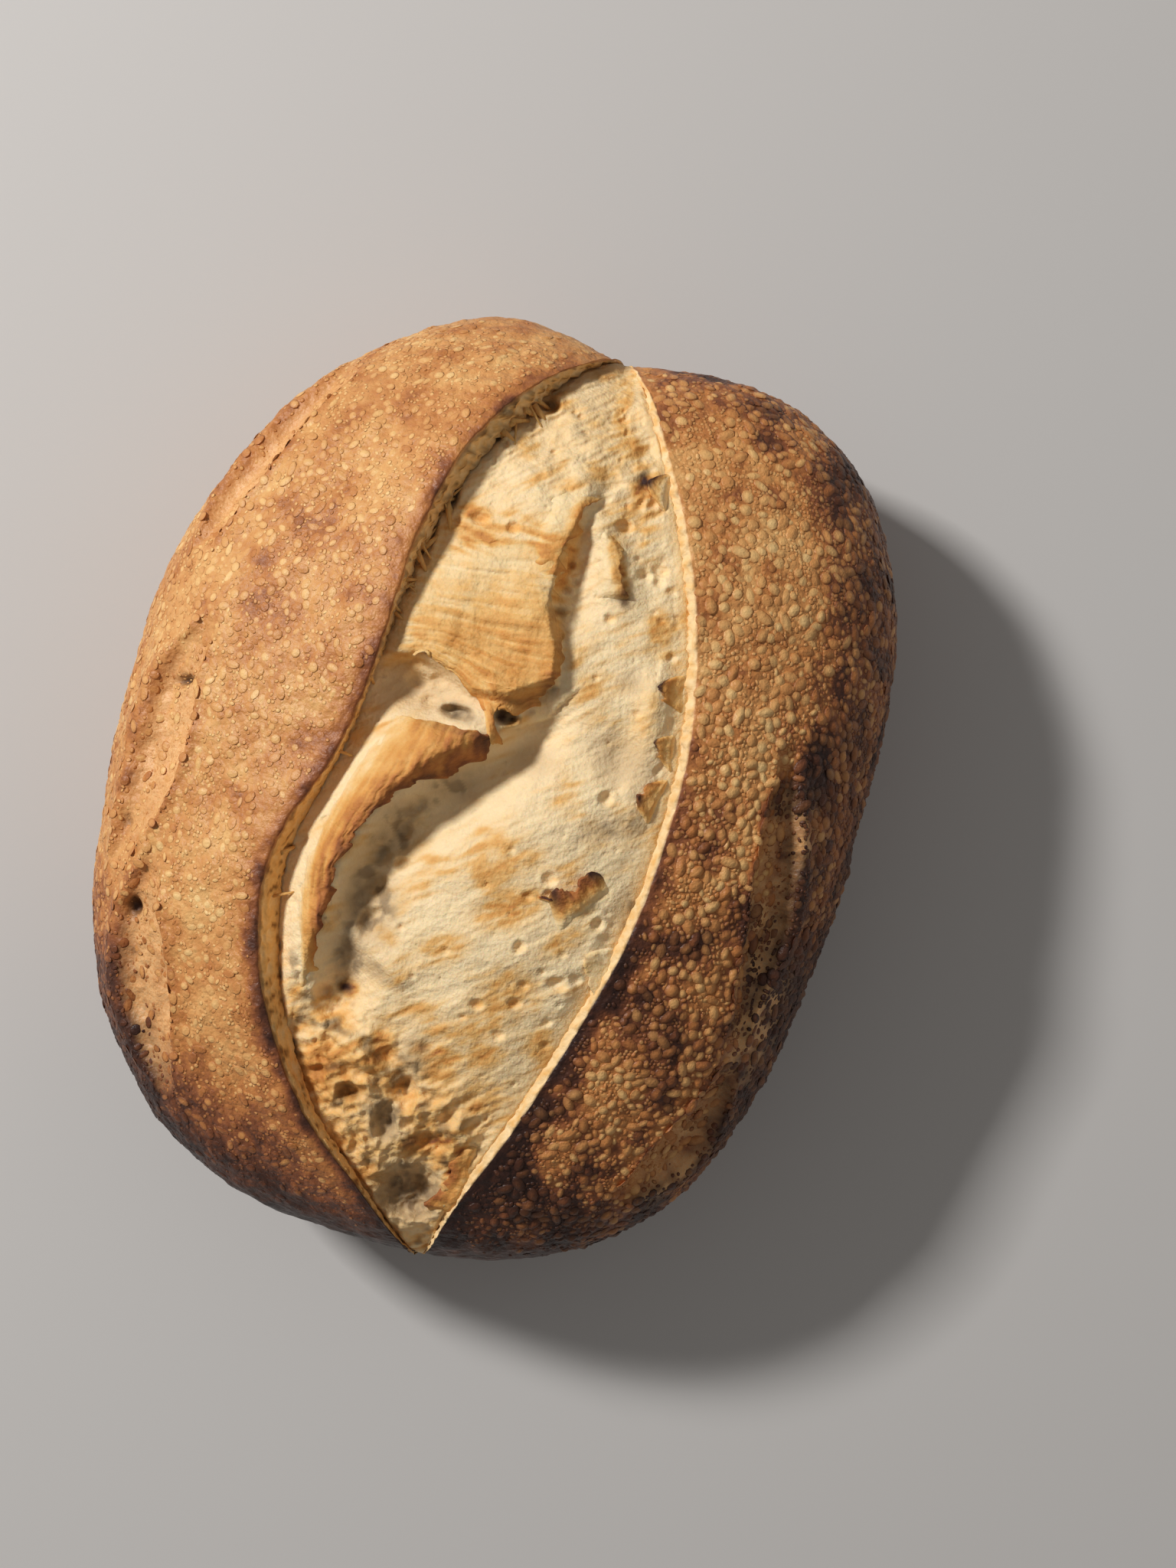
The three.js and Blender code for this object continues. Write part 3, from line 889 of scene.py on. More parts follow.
    def build(self, material: Material) -> Object:
        """Builds and dresses the skin.

        Args:
            material: Its finish.

        Returns:
            The piece.
        """
        mesh = closed_skin("crust", sum(self.columns.values()), self.rows, self.shape)
        points = self.stage.millimetres(MeshTools.points_of(mesh))
        normals = MeshTools.normals_of(mesh)
        (x, y, z), look = points.T, self.look
        cut, leaf = self.tones["cut"], self.tones["leaf"]
        pores = self.face_pores.layered(*points.T / 2.2, layers=2)
        threads = self.face_pores.at(x / 5, y / 1.3, z / 5)
        upper = smooth(y, *self.upper_face)
        porous, fibrous = 0.75 * pores - 0.5 * smooth(pores, 0.25, 0.6), 0.9 * threads + 0.4 * pores
        # The leaf pits are sunk, and painted shade darkens them.
        pits = strongest(LEAF_PITS, x, y) * smooth(leaf, 0.2, 0.8)
        lumpy = 0.42 * self.lumps.at(*points.T / 6.0) + 0.24 * self.lumps.at(*points.T / 2.6)
        scraped = 0.4 * self.lumps.at(x / 1.7, y / 7, z / 1.7) + 0.2 * self.lumps.at(x, y, z) - 0.5
        relief = (1.0 - cut) * smooth(z, 1.0, 8.0) * (lumpy - self.sunk) + leaf * scraped
        relief += cut * lerp(porous, fibrous, upper) - self.pit_depth * pits
        MeshTools.move_points(mesh, self.stage.metres(points + normals * relief[:, None]))
        foot = smooth(x, *self.face_to_foot)
        face_tone = lerp(lerp(*look.face, upper), lerp(*look.foot, upper), foot)
        # Painted shade in the cut face's pores and along the threads of its upper part, under the ear.
        dark = np.maximum(0.75 * smooth(pores, 0.25, 0.65), 0.6 * upper * smooth(threads, 0.05, 0.6))
        MeshTools.tone(mesh, "bake_and_shade", self.bake_and_shade(points))
        self.tones["leaf"] = self.paint_leaves(points)
        MeshTools.tone(mesh, "leaf", self.tones["leaf"])
        MeshTools.tone(mesh, "cut", cut)
        MeshTools.tone(mesh, "toast", face_tone + look.face_swing * pores)
        MeshTools.tone(mesh, "pit_shade", np.maximum(pits, cut * dark * (1.0 - foot)))
        return MeshTools.piece("crust", mesh, material)


LEFT_STAINS = (
    Spot((-58, 30), (9, 14), 10.0, 0.1),
    Spot((-55, -18), (6, 5), 0.0, 0.16),
    Spot((-50, 74), (5, 14), -30.0, 0.1),
    Spot((-38, 88), (4, 9), -40.0, 0.1),
    Spot((-62, 52), (6, 9), 0.0, 0.06),
)
RIGHT_STAINS = (
    Spot((55, 82), (4, 3), 0.0, 0.3),
    Spot((50, 95), (5, 3), 0.0, 0.25),
    Spot((68, 84), (9, 12), 20.0, 0.22),
    Spot((57, 62), (4, 5), 0.0, 0.2),
    Spot((78, 20), (4, 8), 0.0, 0.3),
    Spot((72, 11), (4, 5), 0.0, 0.22),
    Spot((68, -18), (6, 7), 0.0, 0.3),
    Spot((56, -30), (5, 9), 20.0, 0.16),
)
RIGHT_SANDS = (
    Spot((78.5, 4), (9, 4), 90.0),
    Spot((77.5, -17), (8, 3), 85.0, 0.5),
    Spot((79, -45), (15, 5), 77.0, 1.0),
    Spot((67.5, -84), (11, 4), 54.0, 1.0),
)
# Pits in the leaf cuts, sunk and darkened with painted shade.
LEAF_PITS = (
    Spot((-76, 7), (2.2, 1.3), 20.0),
    Spot((-76, -50), (1.4, 2.4), 0.0),
    Spot((-81, -60), (1.2, 3.2), 10.0),
    Spot((-83, -30), (1.2, 2.0), 0.0, 0.7),
)


@dataclass(frozen=True)
class BlisterKind:
    """A kind of blister: where it sits, how many there may be, how large they are and how finely cut."""

    name: str
    side: Side
    tries: int
    most: int
    radii: Pair
    height: float
    facets: tuple[int, int]
    seed: int
    spacing: float = 0.8
    crown: float = 1.0


@dataclass
class Blisters:
    """Little soft domes that the steam raised on one side's crust, large ones first."""

    crust: Crust
    skin: Object
    sunk: float = -0.2
    flare: float = 0.34
    peak: float = 2.0
    seat: float = 0.06
    cell: float = 3.4
    size_bias: float = 1.8
    stretch: float = 0.6
    stretch_bias: float = 1.6
    low_share: float = 0.6
    height_spread: float = 0.8
    far_height: float = 0.55
    far_end: Pair = (20.0, 70.0)
    burnt: Pair = (0.6, 0.95)
    patch_size: float = 14.0
    patch_least: float = 0.06
    clear_lip: Pair = (0.5, 1.8)
    bare_lip: float = 0.93
    taken: dict[tuple[int, int, int], list[tuple[list[float], float]]] = field(default_factory=dict)

    def dome(self, kind: BlisterKind) -> Mesh:
        """Returns one closed dome of radius 1 that reaches a little below its foot."""
        dome = bmesh.new()
        around, rings = kind.facets
        bmesh.ops.create_uvsphere(dome, u_segments=around, v_segments=rings, radius=1.0)
        everything = [*dome.verts, *dome.edges, *dome.faces]
        plane = Vector((0.0, 0.0, self.sunk))
        bmesh.ops.bisect_plane(dome, geom=everything, plane_co=plane, plane_no=(0, 0, -1), clear_outer=True)
        bmesh.ops.holes_fill(dome, edges=dome.edges[:], sides=around)
        bmesh.ops.recalc_face_normals(dome, faces=dome.faces[:])
        return MeshTools.to_mesh(dome, "dome")

    def weights(self, kind: BlisterKind, x: Array, y: Array, z: Array) -> Array:
        """Returns how likely each point of the skin is to carry a blister."""
        form, lumps = self.crust.form, self.crust.lumps
        right = kind.side is RIGHT
        own = (x >= form.seam) if right else (x < form.seam)
        turn = form.turn_at(np.clip(x, *OVER_CUT), y)
        keys = form.cut(turn)
        size = self.patch_size
        patches = 0.6 + 0.7 * lumps.at(x / size + 9.0, y / size, z / size + kind.seed)
        plain = 1.0 - 0.97 * np.maximum(self.crust.tones["leaf"], 0.8 * self.crust.tones["rim"])
        weight = np.clip(patches, self.patch_least, 1.0) * plain * (self.crust.tones["cut"] < 0.05) * own
        weight = weight * smooth(z, 12.0, 50.0) * smooth(116.0 - np.abs(y), 0.0, 14.0)
        weight = weight * np.abs(np.cos(turn))
        back = np.where(right, x - keys.right_edge[:, 0], keys.edge[:, 0] - x)
        bare = smooth(-y, -30.0, 20.0) if right else 1.0
        weight = weight * smooth(back, *self.clear_lip)
        return weight * (1.0 - bare * self.bare_lip * bell(back, 5.5 if right else 4.0))

    def seats(self, kind: BlisterKind, draw: np.random.Generator) -> tuple[NDArray[np.int64], Array]:
        """Chooses the points of the skin that blisters sit on.

        Args:
            kind: The kind of blister.
            draw: The seeded draw.

        Returns:
            The numbers of the skin's points, and the radius of each blister in millimetres.
        """
        points = self.crust.stage.millimetres(MeshTools.points_of(self.skin.data))
        weight = self.weights(kind, *points.T)
        chosen = draw.choice(len(points), kind.tries, replace=False, p=weight / weight.sum())
        low, high = kind.radii
        radii = np.sort(low + (high - low) * draw.random(kind.tries) ** self.size_bias)[::-1]
        kept: list[int] = []
        cells = np.floor(points[chosen] / self.cell).astype(int).tolist()
        steps = [tuple(step) for step in np.ndindex(3, 3, 3)]
        spots = zip(cells, points[chosen].tolist(), radii.tolist())
        for number, ((i, j, k), spot, radius) in enumerate(spots):
            keys = ((i + a - 1, j + b - 1, k + c - 1) for a, b, c in steps)
            rivals = (rival for key in keys for rival in self.taken.get(key, ()))
            if any(math.dist(spot, other) < kind.spacing * (radius + size) for other, size in rivals):
                continue
            self.taken.setdefault((i, j, k), []).append((spot, radius))
            kept.append(number)
            if len(kept) == kind.most:
                break
        return chosen[kept], radii[kept]

    def copies(self, kind: BlisterKind, count: int) -> tuple[Mesh, int]:
        """Makes a kind's domes, all still in one place.

        Args:
            kind: The kind of blister.
            count: How many domes to make.

        Returns:
            The mesh, and how many points each dome has.
        """
        one = self.dome(kind)
        each = (len(one.vertices), len(one.edges), len(one.polygons))
        domes = bmesh.new()
        domes.from_mesh(one)
        bpy.data.meshes.remove(one)
        made = 1
        while made < count:
            more = min(made, count - made)
            parts = []
            for sequence, size in zip((domes.verts, domes.edges, domes.faces), each):
                sequence.ensure_lookup_table()
                parts += sequence[: more * size]
            bmesh.ops.duplicate(domes, geom=parts)
            made += more
        return MeshTools.to_mesh(domes, kind.name), each[0]

    def build(self, kind: BlisterKind, material: Material) -> Object:
        """Builds all the blisters of a kind.

        Args:
            kind: The kind.
            material: Their finish.

        Returns:
            The piece.
        """
        draw = np.random.default_rng(kind.seed)
        seats, radii = self.seats(kind, draw)
        mesh, each = self.copies(kind, len(seats))
        skin = self.skin.data
        normals = MeshTools.normals_of(skin)[seats]
        normals /= np.linalg.norm(normals, axis=1, keepdims=True)
        first = np.cross(normals, draw.normal(size=normals.shape))
        first /= np.linalg.norm(first, axis=1, keepdims=True)
        second = np.cross(normals, first)
        stretch = 1.0 + self.stretch * draw.random(len(seats)) ** self.stretch_bias
        tall = kind.height * (self.low_share + self.height_spread * draw.random(len(seats)))
        base = MeshTools.points_of(skin)[seats]
        if kind.side is RIGHT:
            tall *= lerp(1.0, self.far_height, smooth(base[:, 1] / MM, *self.far_end))
        local = MeshTools.points_of(mesh).reshape(len(seats), each, 3)
        wide = 1.0 + self.flare * (1.0 - local[..., 2:])
        high = np.maximum(local[..., 2:], 0.0) ** self.peak - self.seat + np.minimum(local[..., 2:], 0.0)
        sides = local[..., :1] * wide * first[:, None] * stretch[:, None, None]
        sides = sides + local[..., 1:2] * wide * second[:, None] / np.sqrt(stretch)[:, None, None]
        raised = high * normals[:, None] * tall[:, None, None]
        points = base[:, None] + (sides + raised) * radii[:, None, None] * MM
        MeshTools.move_points(mesh, points.reshape(-1, 3))
        values = np.zeros(len(skin.vertices))
        skin.attributes["bake_and_shade"].data.foreach_get("value", values)
        # Each seat's tone: the crust's bake, with painted shade on the right flank.
        baked = values[seats]
        MeshTools.tone(mesh, "bake_and_shade", np.repeat(baked, each))
        crown = kind.crown * (1.0 - 0.8 * smooth(baked, *self.burnt))
        MeshTools.tone(mesh, "dome", (crown[:, None] * smooth(local[..., 2], 0.0, 0.9)).ravel())
        MeshTools.tone(mesh, "tint", np.repeat(draw.random(len(seats)), each))
        return MeshTools.piece(kind.name, mesh, material)


@dataclass
class Crumb:
    """The torn crumb between the lips, a closed body that fills the valley of the crust."""

    form: LoafForm
    stage: Stage
    rows: int = 540
    top_columns: int = 168
    under_columns: int = 8
    tuck: float = 0.03
    sunk: float = 12.0
    grain_turn: float = math.radians(36.0)
    flap_turn: float = math.radians(-4.0)
    bubble_count: int = 260
    bubble_seed: int = 77
    bubble_span: Pair = (-100.0, 95.0)
    edge_drop: float = 1.4
    flap_rise: Pair = (16.0, 26.0)
    flap_fall: Pair = (52.0, 72.0)
    flap_side: Pair = (7.0, 14.0)
    flap_sunk: float = 0.9
    swell: float = 1.1
    crag: float = 1.5
    rough_low: Pair = (0.9, 1.6)
    noise: Noise = field(default_factory=lambda: Noise(21))
    toast_spots: tuple[Spot, ...] = (
        Spot((14, -28), (9, 5), 30.0, 0.75),
        Spot((12, -18), (9, 3), 35.0, 0.6),
        Spot((28, -33), (8, 3), 40.0, 0.5),
        Spot((1, -40), (7, 3), 20.0, 0.6),
        Spot((17, -50), (9, 6), 35.0, 0.6),
        Spot((12, -58), (9, 5), 25.0, 0.55),
        Spot((-15, 61), (5, 3), -10.0, 0.75),
        Spot((-2, 48), (12, 6), 0.0, 0.3),
        Spot((34, 44), (3.5, 5), 20.0, 0.8),
        Spot((35, 22), (4, 9), 0.0, 0.4),
        Spot((23, 76), (4, 4.5), 0.0, 0.9),
        Spot((13, 97), (3, 12), 0.0, 0.55),
        Spot((12, 78), (5, 4), 0.0, 0.55),
        Spot((6, 73), (6, 2.6), 20.0, 0.5),
        Spot((-7, 80), (4, 4), 0.0, 0.5),
        Spot((-13, -41), (4, 2), -20.0, 0.5),
        Spot((20, 66), (2.4, 5), 0.0, 0.45),
        Spot((9, 88), (5, 7), 0.0, 0.35),
        Spot((9, 55), (2.5, 11), -6.0, 0.75),
        Spot((10, 32), (3, 12), 0.0, 0.75),
        Spot((21, 56), (2, 9), 24.0, 0.85),
        Spot((-8, -67), (4, 5), 0.0, 0.8),
        Spot((5, -66), (8, 3), 0.0, 0.75),
        Spot((16, -64), (6, 4), 30.0, 0.7),
        Spot((-16, -78), (9, 12), 0.0, 0.6),
        Spot((6, -82), (8, 8), 0.0, 0.5),
        Spot((15, -94), (2.5, 11), -8.0, 0.95),
        Spot((9, -87), (6, 3), 20.0, 0.9),
        Spot((-22, -64), (8, 8), 0.0, 0.55),
        Spot((-19, -56), (3, 2.4), 0.0, 1.0),
        Spot((3, 22), (9, 3), 10.0, 0.6),
    )
    # Burnt spots, and painted shade in the gully, the pocket and its holes, the pits and the gaps under the
    # ear.
    char_and_shade_spots: tuple[Spot, ...] = (
        Spot((22, 78), (1.8, 2.4), 0.0, 0.95),
        Spot((24, 49), (1.5, 3), 20.0, 0.7),
        Spot((10, 42.5), (2, 1.6), 0.0, 0.45),
        Spot((11.5, 24), (2, 3), 0.0, 0.5),
        Spot((-20, -56), (2, 1.6), 0.0, 0.85),
        Spot((15, -99), (1.4, 5), -8.0, 0.35),
        Spot((5, -103), (8, 6), 0.0, 0.55),
        Spot((8, -87), (3.5, 1.2), 15.0, 0.45),
        Spot((-4, -85), (2.4, 4.5), 20.0, 0.5),
        Spot((-14, -80), (3, 2), 0.0, 0.6),
        Spot((-5, -2), (6, 2.5), 35.0, 0.25),
        Spot((-13, -11), (5, 3), 35.0, 0.4),
        Spot((-19, -22), (3.4, 5), 0.0, 0.4),
        Spot((-21, -34), (3, 6), 0.0, 0.35),
        Spot((-21, -46), (3, 5), 0.0, 0.4),
        Spot((-8, 14), (4.6, 2.0), -8.0, 0.78),
        Spot((3.2, 15.6), (2.8, 1.9), 0.0, 1.0),
        Spot((-20, 17), (13, 6), 0.0, 0.06),
        Spot((-25.5, 54), (1.6, 5), 0.0, 0.6),
        Spot((-21, 64), (1.4, 3.4), 0.0, 0.6),
        Spot((-15, 83), (1.4, 3.4), 0.0, 0.5),
        Spot((-4, 92), (1.8, 1.6), 0.0, 0.5),
    )
    # Painted shade in the crumb's hollows, its gully and its pockets, with the grey of their thin bubble
    # walls.
    shaded_hollows: tuple[Spot, ...] = (
        Spot((-16, 17), (15, 7), 0.0, 0.55),
        Spot((32, 11.5), (8, 5.5), -15.0, 0.75),
        Spot((11, 7), (6, 4), 0.0, 0.6),
        Spot((43, -23), (4.5, 6), 20.0, 0.7),
        Spot((35, -4), (9, 3), 20.0, 0.5),
        Spot((5, -102), (9, 8), 0.0, 1.0),
        Spot((-4, -85), (4, 6), 20.0, 0.9),
        Spot((-6, -4), (8, 4), 35.0, 0.7),
        Spot((-16, -17), (5, 8), 0.0, 0.8),
        Spot((-21, -34), (4, 11), 0.0, 0.9),
        Spot((-21, -50), (4, 8), 0.0, 0.9),
        Spot((0, -68), (4, 6), 0.0, 0.7),
        Spot((-17, -36), (6, 10), 0.0, 0.8),
        Spot((-4, 1), (9, 5), 35.0, 0.5),
        Spot((30, 30), (4, 3), 0.0, 0.5),
        Spot((-15, -49.5), (7, 2.2), -20.0, 0.7),
    )
    bubbles: tuple[Swell, ...] = (
        Swell((-13, -9), (2.6, 2.4), -2.2),
        Swell((-15, -16), (2.6, 2.6), -2.2),
        Swell((-19, -23), (3, 2.6), -2.0),
        Swell((-18, -30), (3, 3), -2.2),
        Swell((-18, -39), (2.4, 3.6), -2.0),
        Swell((-25, -58), (2.2, 2.4), -2.2),
        Swell((-8, 14), (4.5, 1.8), -5.0),
        Swell((-19, 19.5), (3.2, 2.0), -1.3),
        Swell((-14.5, 20.5), (2.2, 1.6), -1.1),
        Swell((-15, 15), (2.4, 1.8), -1.2),
        Swell((-3.5, 18.5), (2.2, 1.4), -1.0),
        Swell((3, 15.5), (3.2, 2.2), -4.5),
        Swell((-15, 83), (2.4, 4), -3.0),
        Swell((-4, 92), (2.6, 2.4), -3.0),
        Swell((-26, 54), (3, 7), -3.5),
        Swell((-22, 64), (2.4, 4), -2.5),
        Swell((29, -43), (2.6, 1.8), -1.4),
        Swell((33, -41), (1.7, 1.4), -1.2),
        Swell((38, -30), (1.8, 1.2), -1.1),
        Swell((0, -77), (3, 4), -2.5),
        Swell((-4, -85), (3, 5), -3.5),
        Swell((-14, -80), (3, 2.4), -3.0),
        Swell((5, -102), (8, 7), -6.0),
    )

    def flap_share(self, x: Array, y: Array) -> Array:
        """Returns how far each place belongs to the upper flap."""
        return plateau(y, self.flap_rise, self.flap_fall) * (1.0 - smooth(x, *self.flap_side))

    def fibres(self, x: Array, y: Array, size: Pair, layer: float, layers: int = 1) -> Array:
        """Works out noise that is drawn out along the torn crumb's fibres.

        Args:
            x: The places across the loaf.
            y: The places along the loaf.
            size: The fibres' length and width.
            layer: The slice of the noise.
            layers: How many finer layers to add.

        Returns:
            The noise. Its fibres run across the loaf in the upper flap.
        """
        length, width = size
        warp = 0.35 * length * self.noise.at(x / 13 + layer, y / 13)
        flap = self.flap_share(x, y)
        total = np.zeros(np.shape(x))
        for turn, weight in ((self.grain_turn, 1.0 - flap), (self.flap_turn, flap)):
            along_grain = x * math.cos(turn) + y * math.sin(turn) + warp
            across = y * math.cos(turn) - x * math.sin(turn) + 0.4 * warp
            total += weight * self.noise.layered(along_grain / length, across / width, layer, layers=layers)
        return total

    def roughness(self, x: Array, y: Array) -> Array:
        """Returns how ragged the crumb is, most of all where the loaf's near end burst."""
        near_end = smooth(-y - 0.6 * x, 50.0, 82.0)
        return 0.55 + 1.1 * near_end + 0.64 * smooth(y, 44.0, 78.0) - 0.4 * self.flap_share(x, y)

    def folds(self, x: Array, y: Array) -> Array:
        """Returns the sharp little folds between the fibres, from about -1 to 1."""
        return 1.0 - 2.2 * np.abs(self.fibres(x, y, (12.0, 4.6), 1.0, layers=2))

    def smooth_relief(self, x: Array, y: Array) -> Array:
        """Returns the crumb's main relief, without the fibres and the bubbles that a torn skin spans."""
        return self.form.main_relief(x, y) + self.swell * self.noise.at(x / 17, y / 17, 2.0)

    def relief(self, x: Array, y: Array) -> Array:
        """Returns the crumb's whole relief in millimetres, from its torn ridges down to its fibres."""
        noise, rough = self.noise, self.roughness(x, y)
        lumps = 0.7 * noise.layered(x / 8, y / 8, 5.0, layers=2) + 0.14 * noise.at(x / 1.3, y / 1.3, 9.0)
        crags = 0.7 - 2.0 * np.abs(noise.layered(x / 8.5, y / 6.5, 11.0, layers=3))
        relief = self.smooth_relief(x, y) + (0.06 + 0.2 * rough) * self.folds(x, y)
        relief += (0.1 + 0.2 * rough) * self.fibres(x, y, (7.0, 1.2), 4.0) + rough * lumps
        relief += self.crag * smooth(rough, *self.rough_low) * crags
        relief -= self.flap_sunk * self.flap_share(x, y)
        flat_x, flat_y, result = x.ravel(), y.ravel(), relief.ravel().copy()
        for bubble in (*self.bubbles, *self.scattered):
            (middle_x, middle_y), (wide, long) = bubble.at, bubble.radii
            beside = np.abs(flat_x - middle_x) < 2.0 * wide
            near = np.flatnonzero(beside & (np.abs(flat_y - middle_y) < 2.0 * long))
            away = np.hypot((flat_x[near] - middle_x) / wide, (flat_y[near] - middle_y) / long)
            rim = bell(away - 1.2, 0.25) * (away < 1.9)
            result[near] += bubble.height * ((1.0 - smooth(away, 0.35, 1.15)) - 0.12 * rim)
        return result.reshape(np.shape(x))

    def base_toast(self, x: Array, y: Array) -> Array:
        """Returns how toasted the crumb is before its named spots: gold on its folds and in patches."""
        streaks = self.fibres(x, y, (9.0, 1.7), 14.0, layers=2)
        patches = smooth(self.noise.layered(x / 16 + 8.0, y / 13, 1.0) + 0.45 * streaks, -0.25, 1.05)
        crests = smooth(self.folds(x, y), 0.2, 0.95)
        low, high = smooth(-y, 46.0, 80.0), smooth(y, 58.0, 90.0)
        gold = self.flap_share(x, y)
        pale = smooth(x - 0.35 * y, 38.0, 50.0) * (1.0 - high)
        toast = 0.01 + 0.4 * patches + 0.1 * streaks + 0.1 * crests * (0.4 + patches)
        toast += 0.36 * low + 0.14 * high + gold * (0.26 + 0.12 * streaks)
        return np.minimum(toast - 0.1 * pale, 0.7)

    def toast(self, x: Array, y: Array) -> Array:
        """Returns how toasted the crumb is, from 0, cream, to 1, brown."""
        # The toast fades where painted shade is mixed in.
        hollow_shade = strongest(self.shaded_hollows, x, y)
        ragged = 0.8 + 0.5 * self.fibres(x, y, (4.0, 1.5), 17.0, layers=2)
        named = strongest(self.toast_spots, x, y) * np.maximum(ragged, 0.0)
        return np.maximum(self.base_toast(x, y) * (1.0 - 0.75 * hollow_shade), named)

    @cached_property
    def scattered(self) -> tuple[Swell, ...]:
        """The small bubbles, drawn from a seed, with more of them by the lips."""
        draw = np.random.default_rng(self.bubble_seed)
        y = draw.uniform(*self.bubble_span, self.bubble_count)
        keys = self.form.cut(self.form.turn_at(np.zeros(len(y)), y))
        share = draw.beta(0.75, 0.6, len(y))
        x = lerp(keys.root[:, 0] + 3.0, keys.foot[:, 0] - 1.0, share)
        radii = 0.5 + 1.3 * draw.random(len(y)) ** 3
        wide = radii * draw.uniform(0.8, 1.5, len(y))
        bubbles = np.stack((x, y, wide, radii), axis=-1).tolist()
        return tuple(Swell((across, down), (w, r), -0.8 * r) for across, down, w, r in bubbles)

    def shape(self, turn: Array, column: NDArray[np.int64]) -> Array:
        """Returns the crumb's points in metres."""
        top = column < self.top_columns
        under = 1.0 - (column - self.top_columns + 1) / (self.under_columns + 1)
        part = np.where(top, column / (self.top_columns - 1), under)
        share = lerp(-self.tuck, 1.0 + self.tuck, part)
        points = self.form.crumb(turn, share, self.relief)
        keys = self.form.cut(turn)
        inner = self.form.uncut(turn, lerp(keys.root[:, 0], keys.foot[:, 0], share))
        inner[:, 2] -= (self.sunk + self.form.crumb_sink) * keys.fade
        points = np.where(top[:, None], points, inner)
        border = np.minimum(share, 1.0 - share)
        points[:, 2] -= self.edge_drop * keys.fade * (1.0 - smooth(border, -self.tuck, 0.012))
        return self.stage.metres(points)

    def build(self, material: Material) -> Object:
        """Builds and dresses the crumb.

        Args:
            material: Its finish.

        Returns:
            The piece.
        """
        mesh = closed_skin("crumb", self.top_columns + self.under_columns, self.rows, self.shape)
        x, y, _ = self.stage.millimetres(MeshTools.points_of(mesh)).T
        keys = self.form.cut(self.form.turn_at(x, y))
        inward, outward = x - keys.root[:, 0], x - keys.foot[:, 0]

        def cloudy(size: float, stretch: float, layer: float) -> Array:
            """Returns soft noise of a size in millimetres, drawn out along the loaf."""
            return self.noise.layered(x / size, y / (size * stretch), layer, layers=2)

        # Painted shade under the ear's lip at the crumb's root, joined with the shaded hollows.
        shaded = (1.0 - smooth(inward, 2.5, 7.0)) * smooth(y, -5.0, 20.0)
        # Painted shade in the dark gap beside the lower flap's root.
        gap_shade = (1.0 - smooth(inward, 1.2, 2.6)) * plateau(-y, (-20.0, 0.0), (74.0, 92.0))
        hollow_shade = np.maximum(strongest(self.shaded_hollows, x, y), shaded)
        rind = smooth(outward, -4.2, -0.8) * (0.24 + 0.1 * cloudy(2.0, 1.0, 29.0))
        ragged = np.clip(0.85 + 0.9 * cloudy(2.6, 1.0, 31.0), 0.5, 1.25)
        # The burnt tone holds both burnt spots and painted shade.
        burnt = np.minimum(strongest(self.char_and_shade_spots, x, y) * ragged, 1.0)
        crags = 0.6 * smooth(self.roughness(x, y), 1.0, 1.6) * smooth(cloudy(4.5, 1.0, 23.0), 0.15, 0.7)
        # Painted shade in the cells of the shaded hollows.
        cells = smooth(cloudy(3.4, 4.2 / 3.4, 41.0), 0.05, 0.4) * smooth(-y, -6.0, 3.0)
        cave_shade = 0.5 * cells * smooth(hollow_shade, 0.2, 0.7)
        MeshTools.tone(mesh, "toast", np.maximum(self.toast(x, y), rind))
        MeshTools.tone(mesh, "char", np.maximum.reduce([burnt, crags, 0.8 * gap_shade, cave_shade]))
        MeshTools.tone(mesh, "hollow_shade", hollow_shade)
        return MeshTools.piece("crumb", mesh, material)


@dataclass(frozen=True)
class Sheet:
    """A torn skin of dough over the crumb.

    It spans from its root to its torn edge, each a path from its far end to its near end. It rises out
    of the crumb at its root and at those ends that are closed, and stands lift above it at its torn edge.
    swell rounds it between its root and its edge, and tongue draws its torn edge out in the middle.
    end_fray frays its open ends, and blend is the part of it over which the crumb's tone gives way to its
    own. singe is the strength and the width of its burnt edge, and far_pale pales its far end.
    """

    root: Path
    torn: Path
    lift: float
    fray: float
    grid: tuple[int, int]
    closed: tuple[bool, bool] = (True, True)
    bow: tuple[float, ...] = (0.0, 0.0)
    toast: Pair = (0.3, 0.85)
    char: tuple[Spot, ...] = ()
    swell: float = 0.3
    tongue: float = 0.0
    grain: float = 0.3
    grain_along: bool = False
    singe: Pair = (0.4, 0.05)
    end_fray: float = 2.0
    blend: Pair = (0.25, 0.75)
    far_pale: float = 0.0


def path_point(path: Path, share: Array) -> Array:
    """Returns the points at shares of the way along a smooth path."""
    x, y = zip(*path)
    return np.stack((along(x, share), along(y, share)), axis=-1)


@dataclass(frozen=True)
class Cloth:
    """A sheet's grid laid flat: the shares across and along it, its two edges and how far they run."""

    across: Array
    length: Array
    root: Array
    torn: Array
    run: float

    @cached_property
    def span(self) -> Array:
        """How far it is from the root to the torn edge at each point."""
        return np.linalg.norm(self.torn - self.root, axis=1)


